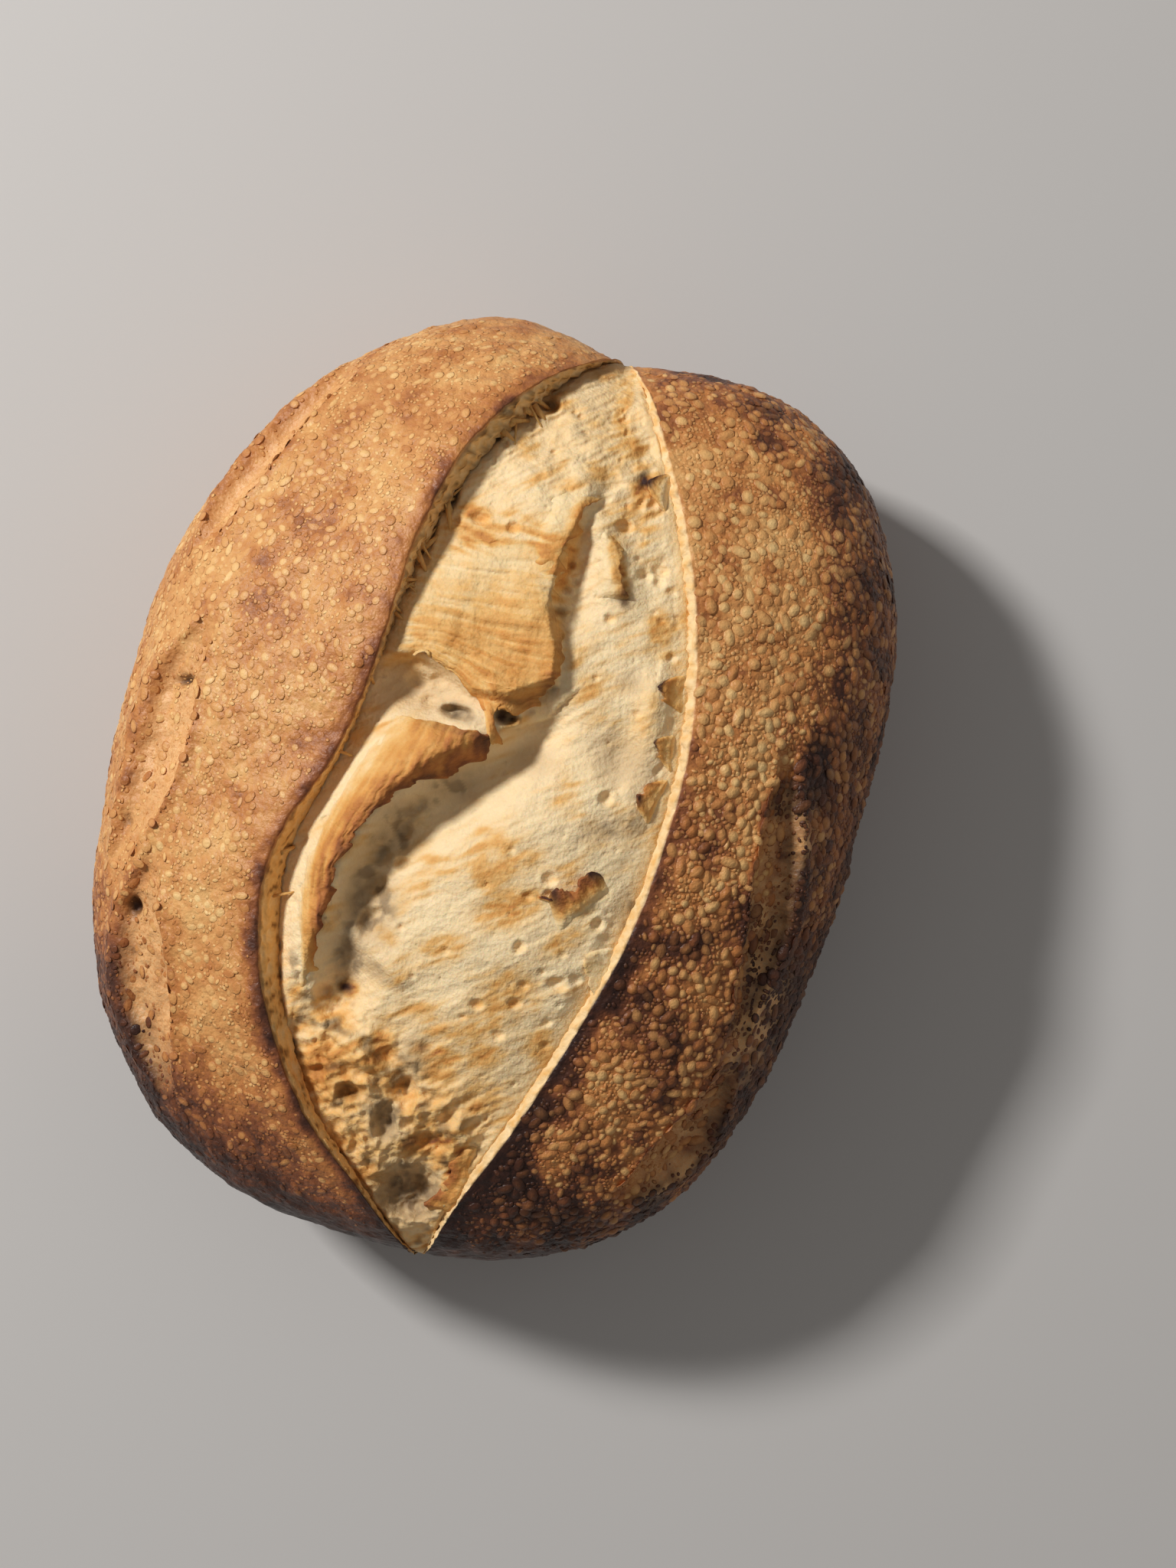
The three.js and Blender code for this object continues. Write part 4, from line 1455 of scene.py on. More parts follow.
@dataclass
class TornSkins:
    """Sheets of torn dough, joined into one piece."""

    name: str
    sheets: tuple[Sheet, ...]
    crumb: Crumb
    seed: int
    thick: float = 0.9
    root_sunk: float = 1.1
    above: float = 0.4

    @staticmethod
    def spread(sheet: Sheet, cloth: Cloth, noise: Noise) -> Array:
        """Spreads a sheet over its part of the cut.

        Args:
            sheet: The sheet.
            cloth: Its grid, laid flat.
            noise: The noise that frays it.

        Returns:
            The places of its points, seen from above.
        """
        across, length = cloth.across, cloth.length
        ragged = noise.layered(length * cloth.run / 5.0, length * 3.0 + 5.0, layers=3)
        ragged = ragged * sheet.fray / np.maximum(cloth.span, 3.0)
        drawn = lerp(1.0, np.sin(math.pi * np.clip(length, 0.0, 1.0)) ** 0.6, sheet.tongue)
        reach = across * (drawn + ragged * across**3)
        place = lerp(cloth.root, cloth.torn, reach[:, None])
        place[:, 1] += length**3 * along(sheet.bow, across)
        ends = length**6 * (not sheet.closed[1]) + (1.0 - length) ** 6 * (not sheet.closed[0])
        place[:, 1] += sheet.end_fray * ends * noise.layered(across * 5.0, across + 2.0, layers=3)
        return place

    @staticmethod
    def streaks(sheet: Sheet, cloth: Cloth, noise: Noise) -> Array:
        """Returns the grain of a sheet, across it or along it."""
        across, length = cloth.across, cloth.length * cloth.run
        if sheet.grain_along:
            return noise.layered(across * cloth.span / 1.7, length / 16.0 + 0.6 * across, 3.0, layers=2)
        return noise.layered(across * 2.2, length / 1.5 + 0.8 * across, 3.0, layers=2)

    def lay(self, sheet: Sheet, noise: Noise) -> tuple[bmesh.types.BMesh, Array, Array]:
        """Lays one sheet over the crumb.

        Args:
            sheet: The sheet.
            noise: The noise that frays it.

        Returns:
            The sheet's grid, and its toast and char tones.
        """
        grid = bmesh.new()
        columns, rows = sheet.grid
        bmesh.ops.create_grid(grid, x_segments=columns, y_segments=rows, size=1.0)
        flat = np.array([vert.co[:2] for vert in grid.verts])
        across, length = (flat[:, 0] + 1.0) / 2.0, (1.0 - flat[:, 1]) / 2.0
        root, torn = path_point(sheet.root, length), path_point(sheet.torn, length)
        run = sum(math.dist(start, end) for start, end in zip(sheet.torn, sheet.torn[1:]))
        cloth = Cloth(across, length, root, torn, run)
        x, y = self.spread(sheet, cloth, noise).T
        streaks = self.streaks(sheet, cloth, noise)
        height = self.crumb.form.crumb_height(x, y, self.crumb.smooth_relief)
        open_ends = np.ones(len(x))
        for shut, distance in zip(sheet.closed, (length, 1.0 - length)):
            open_ends *= smooth(distance, -0.02, 0.2) if shut else 1.0
        risen = smooth(across, 0.0, 0.45) * open_ends
        raised = sheet.lift * across**1.5 * (1.0 + 0.7 * noise.at(length * run / 8.0, across * 0.7 + 31.0))
        height += risen * (raised + sheet.swell * np.sin(math.pi * across)) - self.root_sunk * (1.0 - risen)
        height += (sheet.grain * streaks + 0.3 * noise.at(x / 2.6, y / 2.6, 8.0)) * (0.4 + 0.6 * risen)
        height += risen * (self.above + 0.7 * noise.at(x / 9, y / 6, 21.0))
        points = self.crumb.stage.metres(np.stack((x, y, height), axis=-1))
        for vert, point in zip(grid.verts, points):
            vert.co = point
        browned = lerp(*sheet.toast, across) + 0.15 * streaks + 0.14 * noise.at(x / 5, y / 5, 19.0)
        browned -= sheet.far_pale * (1.0 - smooth(length, 0.05, 0.7))
        toast = lerp(self.crumb.toast(x, y), browned, smooth(across, *sheet.blend) * open_ends)
        char = strongest(sheet.char, x, y) if sheet.char else np.zeros(len(x))
        strength, width = sheet.singe
        patchy = smooth(noise.at(length * run / 3.0, length), -0.3, 0.4)
        singed = strength * smooth(across, 1.0 - width, 1.0) * patchy
        return grid, toast, np.maximum(char * (0.8 + 0.5 * streaks), singed)

    def build(self, material: Material) -> Object:
        """Builds and dresses the sheets.

        Args:
            material: Their finish.

        Returns:
            The piece.
        """
        noise = Noise(self.seed)
        joined = bmesh.new()
        tones: list[tuple[Array, Array]] = []
        for sheet in self.sheets:
            grid, toast, char = self.lay(sheet, noise)
            tones.append((toast, char))
            part = MeshTools.to_mesh(grid, self.name + "_part")
            joined.from_mesh(part)
            bpy.data.meshes.remove(part)
        bmesh.ops.recalc_face_normals(joined, faces=joined.faces[:])
        up = sum(face.normal.z * face.calc_area() for face in joined.faces)
        if up < 0.0:
            bmesh.ops.reverse_faces(joined, faces=joined.faces[:])
        mesh = MeshTools.to_mesh(joined, self.name)
        MeshTools.tone(mesh, "toast", np.concatenate([toast for toast, _ in tones]))
        MeshTools.tone(mesh, "char", np.concatenate([char for _, char in tones]))
        MeshTools.tone(mesh, "hollow_shade", np.zeros(len(mesh.vertices)))
        piece = MeshTools.piece(self.name, mesh, material)
        shell = piece.modifiers.new("thickness", "SOLIDIFY")
        shell.thickness = self.thick * MM
        shell.offset = -1.0
        return piece


UPPER_FLAP = Sheet(
    root=((-24, 52), (-27, 42), (-29, 30), (-30, 18)),
    torn=((10, 60), (8, 51), (8, 44), (11.5, 37), (13, 30), (12, 25), (9, 20)),
    lift=0.6, fray=1.8, grid=(130, 110), closed=(True, False),
    bow=(0.0, 5.5, 6.0, 2.0, -2.5, -3.0, 0.0),
    toast=(0.42, 0.66),
    char=(
        Spot((12, 24), (2.2, 3.2), 0.0, 0.55),
        Spot((9, 43), (1.6, 1.8), 0.0, 0.45),
        Spot((4, 19), (4, 1), 0.0, 0.3),
    ),
    swell=0.0, grain=0.5, end_fray=3.0, blend=(0.0, 0.35), far_pale=0.34,
)
LOWER_FLAP = Sheet(
    root=(
        *((-29, 10), (-32, 1), (-34.5, -9), (-37, -22)),
        *((-37, -33), (-35.5, -43), (-32, -53), (-30, -61)),
    ),
    torn=(
        *((4, 10.5), (-4, 1), (-13, -4), (-20, -11), (-25, -19)),
        *((-27, -30), (-28, -40), (-28, -50), (-27, -61)),
    ),
    lift=0.7, fray=2.6, grid=(90, 190), closed=(False, True), toast=(0.3, 0.92), grain_along=True,
    end_fray=0.9, blend=(0.05, 0.45),
    char=(
        Spot((2, 9), (4, 2.6), 20.0, 0.95),
        Spot((-6, 9.8), (9, 1.1), 0.0, 0.45),
        Spot((-12, -3.5), (7, 1.3), 36.0, 0.7),
        Spot((-26, -27), (2.0, 5), 0.0, 0.45),
        Spot((-21, -13), (2, 2), 0.0, 0.4),
    ),
    swell=0.9, grain=0.4,
)
FOLD_BEHIND_FLAP = Sheet(
    root=((0, 72), (-1, 58), (0, 46)),
    torn=((13, 73), (9, 60), (8.4, 45)),
    lift=0.8, fray=2.4, grid=(40, 60), toast=(0.25, 0.7), blend=(0.5, 0.95),
)
FAR_FOLD = Sheet(
    root=((13.5, 66), (16, 46)),
    torn=((20, 62), (24, 48)),
    lift=1.2, fray=1.8, grid=(24, 40), toast=(0.05, 0.6), blend=(0.4, 0.9),
    char=(Spot((24, 50), (1.6, 3), 0.0, 0.85),),
)
LIP_TIPS = (
    Sheet(
        root=((44, 37), (45, 24)),
        torn=((36.4, 32), (37.5, 27)),
        lift=0.6, fray=2.6, grid=(26, 26), toast=(0.36, 0.7), tongue=0.6, singe=(1.0, 0.16),
        blend=(0.05, 0.4),
    ),
    Sheet(
        root=((44.5, 22), (45, 10)),
        torn=((38, 18.5), (40, 14)),
        lift=0.5, fray=2.4, grid=(22, 22), toast=(0.32, 0.66), tongue=0.5, singe=(1.0, 0.14),
        blend=(0.05, 0.4),
    ),
    Sheet(
        root=((45, 11), (42.5, -4)),
        torn=((41, 9), (36.6, 2.4)),
        lift=0.9, fray=2.4, grid=(26, 30), toast=(0.34, 0.72), tongue=0.4, blend=(0.05, 0.4),
        char=(Spot((37.8, 3.4), (1.5, 1.9), 0.0, 0.95),),
    ),
)
BURNT_CURL = Sheet(
    root=((38, -19), (34, -25), (27.5, -35)),
    torn=((33.4, -14.6), (29.4, -17.6), (27, -20.6), (24.6, -21.5), (22, -25)),
    lift=2.0, fray=2.6, grid=(34, 60), toast=(0.4, 0.86), tongue=0.2, singe=(1.0, 0.5),
    blend=(0.25, 0.7),
)
BURNT_SPLINTER = Sheet(
    root=((25, -25), (19.5, -24.5)),
    torn=((24, -23.5), (20, -23.6)),
    lift=0.8, fray=0.5, grid=(8, 16), toast=(0.9, 1.0), singe=(1.0, 0.6),
)
POCKET_STRAND = Sheet(
    root=((-8, 22.6), (-2.6, 15), (0, 8.5)),
    torn=((3, 22), (0.8, 15), (4, 9)),
    lift=0.5, fray=0.5, grid=(20, 40), closed=(False, False), toast=(0.5, 0.66), swell=0.6,
    grain_along=True, end_fray=0.5, blend=(0.0, 0.2),
)
FAR_TIP = Sheet(
    root=((30, 83), (30, 71)),
    torn=((23.4, 80), (23, 75)),
    lift=1.4, fray=1.4, grid=(24, 24), toast=(0.2, 0.62), tongue=0.9, singe=(1.0, 0.4),
)
NEAR_END_CURL = Sheet(
    root=((20, -84), (21, -106)),
    torn=((14.5, -89), (11.5, -106)),
    lift=1.8, fray=2.6, grid=(30, 46), toast=(0.35, 0.9), blend=(0.1, 0.5),
)
LOW_LIP_SKIN = Sheet(
    root=((41, -30), (46, -41)),
    torn=((33, -34), (38, -46)),
    lift=0.7, fray=1.4, grid=(20, 26), toast=(0.1, 0.3), tongue=0.4,
)
TORN_TIPS = (
    FOLD_BEHIND_FLAP,
    FAR_FOLD,
    *LIP_TIPS,
    BURNT_CURL,
    BURNT_SPLINTER,
    POCKET_STRAND,
    FAR_TIP,
    NEAR_END_CURL,
    LOW_LIP_SKIN,
)


@dataclass
class EarThreads:
    """Threads of dough that still join the ear's cut face to the crumb below it."""

    crumb: Crumb
    count: int = 36
    few: int = 4
    sides: int = 5
    seed: int = 91
    far: Pair = (18.0, 99.0)
    near: Pair = (-80.0, 18.0)
    reach: Pair = (0.2, 3.4)
    slant: float = 3.2
    sunk: float = 0.4
    thickness: Pair = (0.15, 0.6)
    top_flare: float = 1.7
    foot_flare: float = 0.9

    def build(self, material: Material) -> Object:
        """Builds the threads.

        Args:
            material: Their finish.

        Returns:
            The piece.
        """
        draw = np.random.default_rng(self.seed)
        form, stage = self.crumb.form, self.crumb.stage
        y = draw.uniform(*self.far, self.count - self.few)
        y = np.concatenate((y, draw.uniform(*self.near, self.few)))
        turn = form.turn_at(np.full(len(y), -25.0), y)
        keys = form.cut(turn)
        top = lerp(keys.edge, keys.wall, draw.uniform(0.55, 1.0, len(y))[:, None])
        place_x = keys.wall[:, 0] + draw.uniform(*self.reach, len(y))
        place_y = top[:, 1] + draw.normal(0.0, self.slant, len(y))
        height = form.crumb_height(place_x, place_y, self.crumb.relief) - self.sunk
        foot = np.stack((place_x, place_y, height), axis=-1)
        radii = draw.uniform(*self.thickness, len(y)) * MM
        joined = bmesh.new()
        for start, end, radius in zip(stage.metres(top), stage.metres(foot), radii):
            run = Vector(end - start)
            wide, thin = self.top_flare * radius, self.foot_flare * radius
            thread = bmesh.ops.create_cone(
                joined, cap_ends=True, segments=self.sides, radius1=wide, radius2=thin, depth=run.length
            )
            turned = run.to_track_quat("Z", "Y").to_matrix().to_4x4()
            middle = Matrix.Translation(Vector((start + end) / 2.0))
            bmesh.ops.transform(joined, matrix=middle @ turned, verts=thread["verts"])
        mesh = MeshTools.to_mesh(joined, "ear_threads")
        # The threads carry a little painted shade.
        for name, value in (("toast", 0.5), ("char", 0.0), ("hollow_shade", 0.1)):
            MeshTools.tone(mesh, name, np.full(len(mesh.vertices), value))
        return MeshTools.piece("ear_threads", mesh, material)


RIGHT_KINDS = (
    BlisterKind(
        "right_blisters", RIGHT, tries=8000, most=2400, radii=(0.5, 1.4), height=0.52,
        facets=(9, 6), seed=41, spacing=0.92,
    ),
    BlisterKind(
        "right_beads", RIGHT, tries=20000, most=4700, radii=(0.32, 0.56), height=0.6, facets=(7, 4),
        seed=43, spacing=0.95, crown=0.6,
    ),
)
LEFT_KINDS = (
    BlisterKind(
        "left_blisters", LEFT, tries=6000, most=1500, radii=(0.5, 1.05), height=0.2, facets=(9, 6),
        seed=42, spacing=1.15,
    ),
    BlisterKind(
        "left_beads", LEFT, tries=20000, most=4900, radii=(0.26, 0.5), height=0.3, facets=(7, 4),
        seed=44, spacing=1.1,
    ),
)


def linear(code: str) -> tuple[float, float, float, float]:
    """Returns a colour, written as six hexadecimal digits, as linear red, green, blue and alpha."""
    parts = [int(code[i : i + 2], 16) / 255.0 for i in (0, 2, 4)]
    return (*(part / 12.92 if part <= 0.04045 else ((part + 0.055) / 1.055) ** 2.4 for part in parts), 1.0)


class Graph:
    """A node tree under construction."""

    def __init__(self, tree: NodeTree) -> None:
        """Starts on a tree."""
        self.tree = tree

    def node(self, kind: str, **settings: object) -> Node:
        """Adds a node with its settings."""
        made = self.tree.nodes.new(kind)
        for name, value in settings.items():
            setattr(made, name, value)
        return made

    def link(self, output: NodeSocket, target: NodeSocket) -> None:
        """Joins two sockets."""
        self.tree.links.new(output, target)

    def feed(self, target: NodeSocket, value: object) -> None:
        """Joins a socket or sets a plain value on an input."""
        if isinstance(value, NodeSocket):
            self.link(value, target)
        else:
            target.default_value = value

    def math(self, operation: str, first: object, second: object, clamp: bool = False) -> NodeSocket:
        """Adds a node that works out one step with two values."""
        made = self.node("ShaderNodeMath", operation=operation, use_clamp=clamp)
        self.feed(made.inputs[0], first)
        self.feed(made.inputs[1], second)
        return made.outputs[0]

    def add(self, first: object, *others: object) -> NodeSocket:
        """Adds values up."""
        for other in others:
            first = self.math("ADD", first, other)
        return first

    def times(self, first: object, second: object, clamp: bool = False) -> NodeSocket:
        """Multiplies two values."""
        return self.math("MULTIPLY", first, second, clamp)

    def mix(self, share: object, first: object, second: object) -> NodeSocket:
        """Adds a mix of two colours."""
        made = self.node("ShaderNodeMix", data_type="RGBA")
        self.feed(made.inputs["Factor"], share)
        self.feed(made.inputs["A"], first)
        self.feed(made.inputs["B"], second)
        return made.outputs["Result"]

    def attribute(self, name: str) -> NodeSocket:
        """Reads one of the mesh's tones."""
        return self.node("ShaderNodeAttribute", attribute_name=name).outputs["Fac"]

    def ramp(self, value: object, stops: Sequence[tuple[float, str]]) -> NodeSocket:
        """Adds a ramp of colours, given as places and hexadecimal codes."""
        made = self.node("ShaderNodeValToRGB")
        elements = made.color_ramp.elements
        while len(elements) < len(stops):
            elements.new(0.5)
        for element, (place, code) in zip(elements, stops):
            element.position = place
            element.color = linear(code)
        self.feed(made.inputs[0], value)
        return made.outputs[0]


class SharedGroup(Graph):
    """A node group that materials share. It reads a position and plain numbers and gives one number."""

    def __init__(self, name: str, numbers: Sequence[str], result: str) -> None:
        """Starts the group and adds its sockets.

        Args:
            name: The group's name.
            numbers: The names of its inputs beside Position.
            result: The name of its output.
        """
        super().__init__(bpy.data.node_groups.new(name, "ShaderNodeTree"))
        interface = self.tree.interface
        interface.new_socket("Position", in_out="INPUT", socket_type="NodeSocketVector")
        for number in numbers:
            interface.new_socket(number, in_out="INPUT", socket_type="NodeSocketFloat")
        interface.new_socket(result, in_out="OUTPUT", socket_type="NodeSocketFloat")
        self.inputs = self.node("NodeGroupInput").outputs
        self.result = self.node("NodeGroupOutput").inputs[result]

    def noise(self, **settings: float) -> NodeSocket:
        """Adds soft noise at the group's position and scale."""
        made = self.node("ShaderNodeTexNoise")
        for name, value in settings.items():
            made.inputs[name].default_value = value
        self.link(self.inputs["Position"], made.inputs["Vector"])
        self.link(self.inputs["Scale"], made.inputs["Scale"])
        return made.outputs[0]


def mottle_group() -> NodeTree:
    """Builds the shared group that mottles a baked surface.

    Returns:
        A group with the inputs Position, Scale and Strength, whose output Mask swings about nothing.
    """
    group = SharedGroup("baked_mottle", ("Scale", "Strength"), "Mask")
    centred = group.math("SUBTRACT", group.noise(Detail=5.0, Roughness=0.62), 0.5)
    group.link(group.times(centred, group.inputs["Strength"]), group.result)
    return group.tree


def grain_group() -> NodeTree:
    """Builds the shared group that gives a surface its finest relief.

    Returns:
        A group with the inputs Position, Scale and Cells. Its output Height joins noise and round cells.
    """
    group = SharedGroup("baked_grain", ("Scale", "Cells"), "Height")
    cells = group.node("ShaderNodeTexVoronoi", feature="SMOOTH_F1")
    group.link(group.inputs["Position"], cells.inputs["Vector"])
    group.link(group.times(group.inputs["Scale"], 0.55), cells.inputs["Scale"])
    bubbles = group.times(group.math("SUBTRACT", 1.0, cells.outputs["Distance"]), group.inputs["Cells"])
    group.link(group.add(group.noise(Detail=3.0), bubbles), group.result)
    return group.tree


@dataclass(frozen=True, kw_only=True)
class Finish:
    """What every finish of the loaf shares: its shader, its bump and its use of the shared groups.

    blotches and specks each give the scale and the strength of a mottling, and grit gives the scale of the
    finest relief and its share of round cells. bump is the height of that relief in millimetres.
    """

    name: str
    roughness: float
    bump: float
    mottle: NodeTree
    grain: NodeTree
    grit: Pair
    blotches: Pair = (170.0, 0.34)
    specks: Pair = (620.0, 0.3)
    shine: float = 0.34

    def start(self) -> tuple[Material, Graph, Node, NodeSocket]:
        """Starts a material.

        Returns:
            The material, its graph, its shader and the object's own coordinates.
        """
        material = bpy.data.materials.new(self.name)
        material.use_nodes = True
        graph = Graph(material.node_tree)
        shader = material.node_tree.nodes["Principled BSDF"]
        shader.inputs["Roughness"].default_value = self.roughness
        shader.inputs["Specular IOR Level"].default_value = self.shine
        return material, graph, shader, graph.node("ShaderNodeTexCoord").outputs["Object"]

    @staticmethod
    def grouped(graph: Graph, tree: NodeTree, place: NodeSocket, **numbers: float) -> NodeSocket:
        """Places one of the shared groups.

        Args:
            graph: The material's graph.
            tree: The group.
            place: The position that it reads.
            **numbers: Its plain inputs.

        Returns:
            The group's output.
        """
        group = graph.node("ShaderNodeGroup", node_tree=tree)
        graph.link(place, group.inputs["Position"])
        for name, value in numbers.items():
            group.inputs[name].default_value = value
        return group.outputs[0]

    def mottled(self, graph: Graph, place: NodeSocket, pattern: Pair) -> NodeSocket:
        """Places the mottling group with a pattern's scale and strength."""
        scale, strength = pattern
        return self.grouped(graph, self.mottle, place, Scale=scale, Strength=strength)

    def toned(
        self, graph: Graph, place: NodeSocket, name: str
    ) -> tuple[NodeSocket, NodeSocket, NodeSocket]:
        """Mottles one of the mesh's tones.

        Args:
            graph: The material's graph.
            place: The position that the mottling reads.
            name: The tone's name.

        Returns:
            The tone with the finish's blotches and specks in it, the blotches alone and the specks alone.
        """
        coarse, fine = (self.mottled(graph, place, pattern) for pattern in (self.blotches, self.specks))
        return graph.add(coarse, fine, graph.attribute(name)), coarse, fine

    def rough_up(self, graph: Graph, shader: Node, place: NodeSocket) -> None:
        """Places the grain group as the shader's bump."""
        scale, cells = self.grit
        bump = graph.node("ShaderNodeBump")
        bump.inputs["Strength"].default_value = 1.0
        bump.inputs["Distance"].default_value = self.bump * MM
        height = self.grouped(graph, self.grain, place, Scale=scale, Cells=cells)
        graph.link(height, bump.inputs["Height"])
        graph.link(bump.outputs["Normal"], shader.inputs["Normal"])


BAKE_STOPS = (
    (0.0, "f3cd8d"),
    (0.2, "e7b472"),
    (0.36, "d69859"),
    (0.5, "c07b42"),
    (0.66, "905431"),
    (0.82, "583221"),
    (1.0, "341e17"),
)
SAND_STOPS = (
    (0.0, "f6ca90"),
    (0.35, "e0a468"),
    (0.6, "a86c3e"),
    (1.0, "5f3c28"),
)
TOAST_STOPS = (
    (0.0, "fbdfb0"),
    (0.25, "f4d098"),
    (0.45, "ebb870"),
    (0.64, "da9a4f"),
    (0.82, "ba743a"),
    (1.0, "854b2b"),
)


@dataclass(frozen=True, kw_only=True)
class CrustFinish(Finish):
    """The baked skin, with its leaf cuts, its cut faces and their pores, and painted shade in its pits and
    pores.
    """

    grit: Pair = (780.0, 0.8)
    sand: Pair = (1700.0, 1.2)
    sand_contrast: float = 1.2
    sand_tone: float = 0.25
    cut_dullness: float = 0.25
    pit_shade_colour: str = "4a2c1a"

    def build(self) -> Material:
        """Builds the material."""
        material, graph, shader, place = self.start()
        # The crust's tone: its bake, with painted shade on the right flank.
        baked, coarse, fine = self.toned(graph, place, "bake_and_shade")
        skin = graph.ramp(baked, BAKE_STOPS)
        sandy = graph.add(coarse, self.mottled(graph, place, self.sand))
        uneven = graph.add(1.0, graph.times(sandy, self.sand_contrast))
        leaf = graph.times(graph.attribute("leaf"), uneven, clamp=True)
        skin = graph.mix(leaf, skin, graph.ramp(graph.add(self.sand_tone, sandy), SAND_STOPS))
        toasted = graph.add(graph.attribute("toast"), fine)
        colour = graph.mix(graph.attribute("cut"), skin, graph.ramp(toasted, TOAST_STOPS))
        colour = graph.mix(graph.attribute("pit_shade"), colour, linear(self.pit_shade_colour))
        graph.link(colour, shader.inputs["Base Color"])
        dull = graph.times(graph.attribute("cut"), self.cut_dullness)
        graph.link(graph.add(self.roughness, fine, dull), shader.inputs["Roughness"])
        self.rough_up(graph, shader, place)
        return material


@dataclass(frozen=True, kw_only=True)
class BlisterFinish(Finish):
    """The blisters: pale on top and as dark as the crust round their feet."""

    pale: float
    follow: float
    tint_swing: float = 0.32
    grit: Pair = (1500.0, 0.3)

    def build(self) -> Material:
        """Builds the material."""
        material, graph, shader, place = self.start()
        base, _, _ = self.toned(graph, place, "bake_and_shade")
        spread = graph.times(graph.math("SUBTRACT", graph.attribute("tint"), 0.5), self.tint_swing)
        crown = graph.add(spread, self.pale, graph.times(base, self.follow))
        foot, top = (graph.ramp(tone, BAKE_STOPS) for tone in (base, crown))
        graph.link(graph.mix(graph.attribute("dome"), foot, top), shader.inputs["Base Color"])
        self.rough_up(graph, shader, place)
        return material


@dataclass(frozen=True, kw_only=True)
class CrumbFinish(Finish):
    """The torn crumb and its skins: cream, toasted to gold and brown, burnt at a few tips, and with painted
    shade in its hollows, gully, holes and gaps.
    """

    blotches: Pair = (210.0, 0.22)
    specks: Pair = (900.0, 0.2)
    grit: Pair = (950.0, 0.35)
    shade: float = 0.64
    shade_colour: str = "b3936a"
    char_and_shade_colour: str = "3d221b"
    softness: float = 0.25
    glow_radius: tuple[float, float, float] = (1.0, 0.6, 0.3)
    glow_depth: float = 1.6

    def build(self) -> Material:
        """Builds the material."""
        material, graph, shader, place = self.start()
        toasted, _, _ = self.toned(graph, place, "toast")
        colour = graph.ramp(toasted, TOAST_STOPS)
        shade = graph.times(graph.attribute("hollow_shade"), self.shade)
        colour = graph.mix(shade, colour, linear(self.shade_colour))
        colour = graph.mix(graph.attribute("char"), colour, linear(self.char_and_shade_colour))
        graph.link(colour, shader.inputs["Base Color"])
        shader.inputs["Subsurface Weight"].default_value = self.softness
        shader.inputs["Subsurface Radius"].default_value = self.glow_radius
        shader.inputs["Subsurface Scale"].default_value = self.glow_depth * MM
        self.rough_up(graph, shader, place)
        return material


@dataclass(frozen=True)
class Lamp:
    """A square lamp that looks at the loaf: its direction, its distance and side in metres, its watts."""

    name: str
    direction: tuple[float, float, float]
    distance: float
    size: float
    power: float

    def hang(self, turned: Matrix) -> None:
        """Hangs the lamp, turned round the loaf with the camera."""
        direction = turned @ Vector(self.direction)
        light = bpy.data.lights.new(self.name, "AREA")
        light.size = self.size
        light.energy = self.power
        lamp = bpy.data.objects.new(self.name, light)
        lamp.location = direction.normalized() * self.distance
        lamp.rotation_euler = direction.to_track_quat("Z", "Y").to_euler()
        bpy.context.scene.collection.objects.link(lamp)


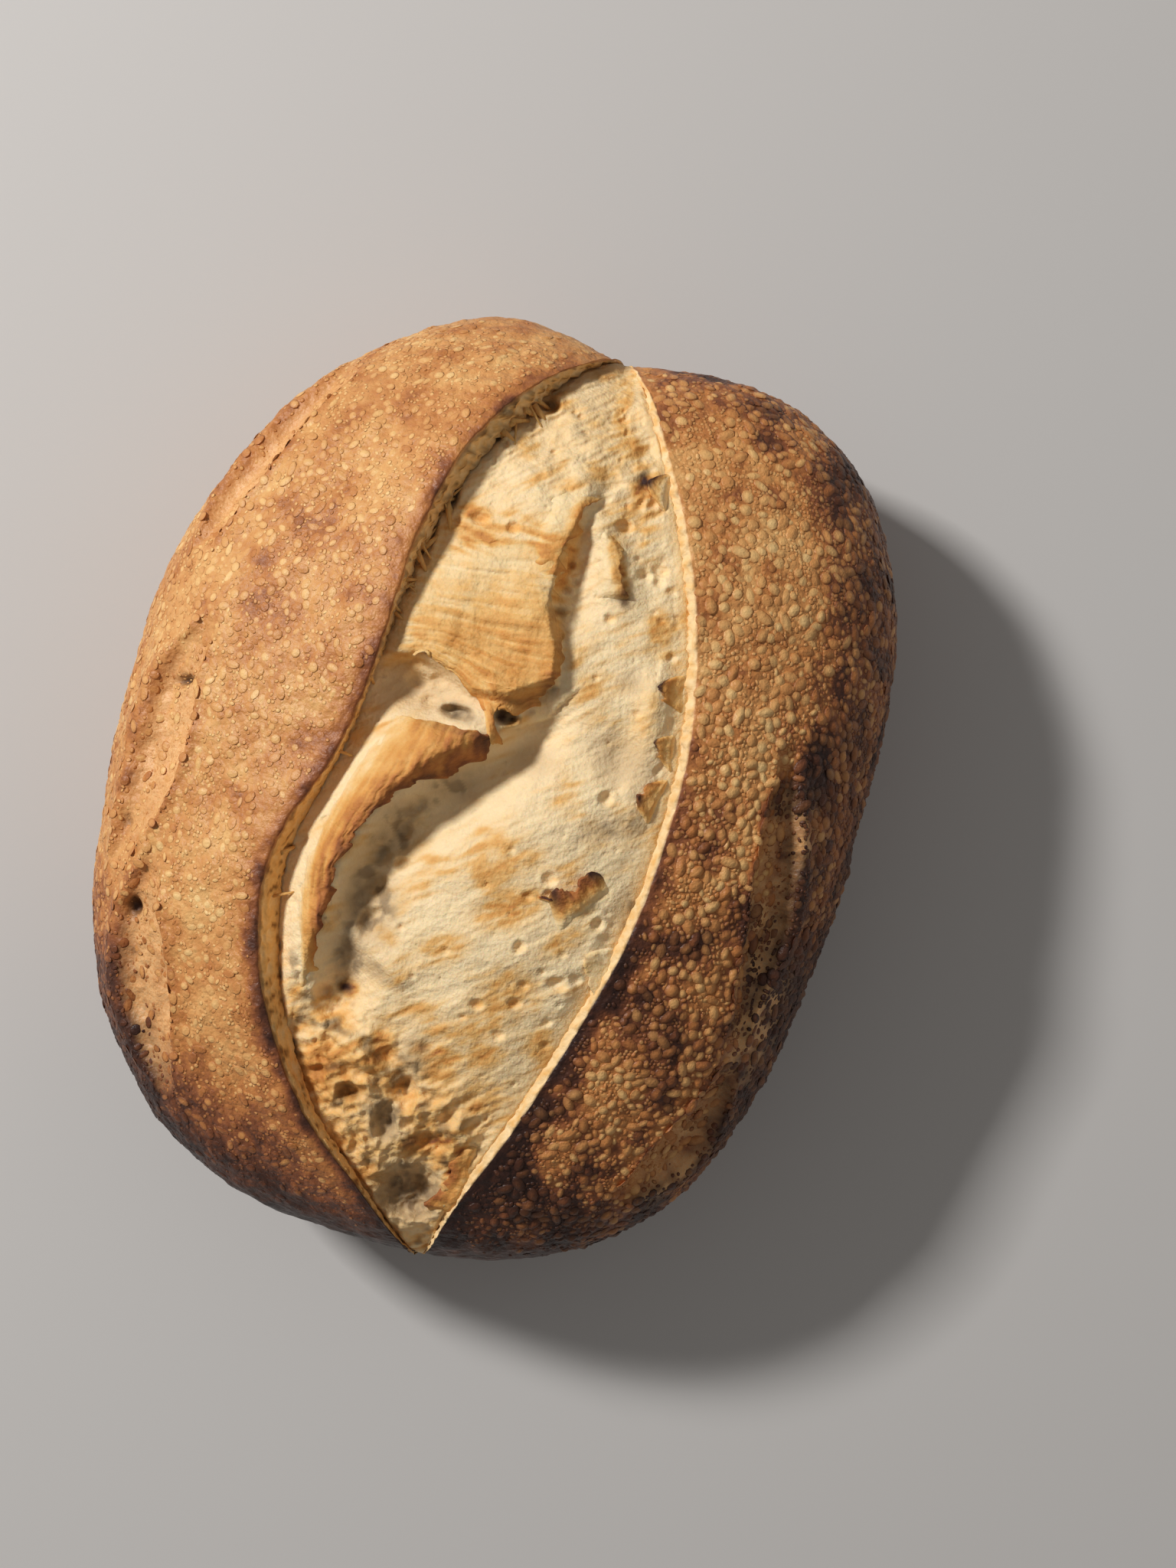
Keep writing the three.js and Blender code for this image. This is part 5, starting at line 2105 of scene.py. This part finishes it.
@dataclass(frozen=True)
class Studio:
    """The pale floor, the soft lights and the camera, placed in the form's millimetres."""

    stage: Stage
    camera_place: tuple[float, float, float] = (25.5, 4.5, 650.0)
    camera_turn: float = math.radians(13.0)
    focal_share: float = 3101.0 / 2048.0
    sensor: float = 36.0
    lamps: tuple[Lamp, ...] = (
        Lamp("key", (-0.6, 0.46, 0.72), distance=1.5, size=0.2, power=19.0),
        Lamp("fill", (0.7, 0.2, 0.8), distance=1.6, size=1.2, power=1.0),
    )
    floor_size: float = 4.0
    floor_colour: str = "cac6c2"
    sky: float = 0.21
    sky_colour: str = "f2f0ee"

    def floor(self) -> None:
        """Lays the floor."""
        plane = bmesh.new()
        bmesh.ops.create_grid(plane, x_segments=1, y_segments=1, size=self.floor_size)
        mesh = MeshTools.to_mesh(plane, "floor")
        paint = bpy.data.materials.new("floor_paint")
        paint.use_nodes = True
        shader = paint.node_tree.nodes["Principled BSDF"]
        shader.inputs["Base Color"].default_value = linear(self.floor_colour)
        shader.inputs["Roughness"].default_value = 0.9
        mesh.materials.append(paint)
        obj = bpy.data.objects.new("floor", mesh)
        bpy.context.scene.collection.objects.link(obj)

    def build(self) -> None:
        """Builds the floor, the lights, the sky and the camera."""
        self.floor()
        turned = Matrix.Rotation(self.camera_turn, 3, "Z")
        for lamp in self.lamps:
            lamp.hang(turned)
        scene = bpy.context.scene
        scene.view_settings.view_transform = "Standard"
        scene.world = bpy.data.worlds.new("sky")
        scene.world.use_nodes = True
        background = scene.world.node_tree.nodes["Background"]
        background.inputs["Color"].default_value = linear(self.sky_colour)
        background.inputs["Strength"].default_value = self.sky
        camera = bpy.data.cameras.new("camera")
        camera.sensor_fit = "VERTICAL"
        camera.sensor_height = self.sensor
        camera.lens = self.sensor * self.focal_share
        eye = bpy.data.objects.new("camera", camera)
        eye.location = Vector(self.stage.metres(np.array(self.camera_place)))
        eye.rotation_euler = (0.0, 0.0, self.camera_turn)
        scene.collection.objects.link(eye)
        scene.camera = eye


def main() -> None:
    """Builds the loaf's pieces in order and reports each."""
    logging.basicConfig(level=logging.INFO, format="%(message)s")
    form = LoafForm()
    stage = Stage.from_form(form)
    Studio(stage).build()
    groups = {"mottle": mottle_group(), "grain": grain_group()}
    crust_finish = CrustFinish(name="baked_crust", roughness=0.46, bump=0.5, **groups).build()
    crumb_finish = CrumbFinish(name="torn_crumb", roughness=0.72, bump=0.45, **groups).build()
    crust = Crust(form, stage)
    skin = crust.build(crust_finish)
    pieces = [skin]
    for kinds, pale, follow in ((RIGHT_KINDS, 0.0, 0.62), (LEFT_KINDS, -0.04, 0.84)):
        blisters = Blisters(crust, skin)
        name = kinds[0].name + "_skin"
        look = BlisterFinish(name=name, roughness=0.42, bump=0.25, pale=pale, follow=follow, **groups)
        finish = look.build()
        pieces += [blisters.build(kind, finish) for kind in kinds]
    crumb = Crumb(form, stage)
    pieces.append(crumb.build(crumb_finish))
    for name, sheets, seed in (("torn_flaps", (UPPER_FLAP, LOWER_FLAP), 31), ("torn_tips", TORN_TIPS, 32)):
        pieces.append(TornSkins(name, sheets, crumb, seed).build(crumb_finish))
    pieces.append(EarThreads(crumb).build(crumb_finish))
    for piece in pieces:
        LOG.info("%s: %d faces", piece.name, len(piece.data.polygons))
    bpy.context.view_layer.update()


if __name__ == "__main__":
    main()
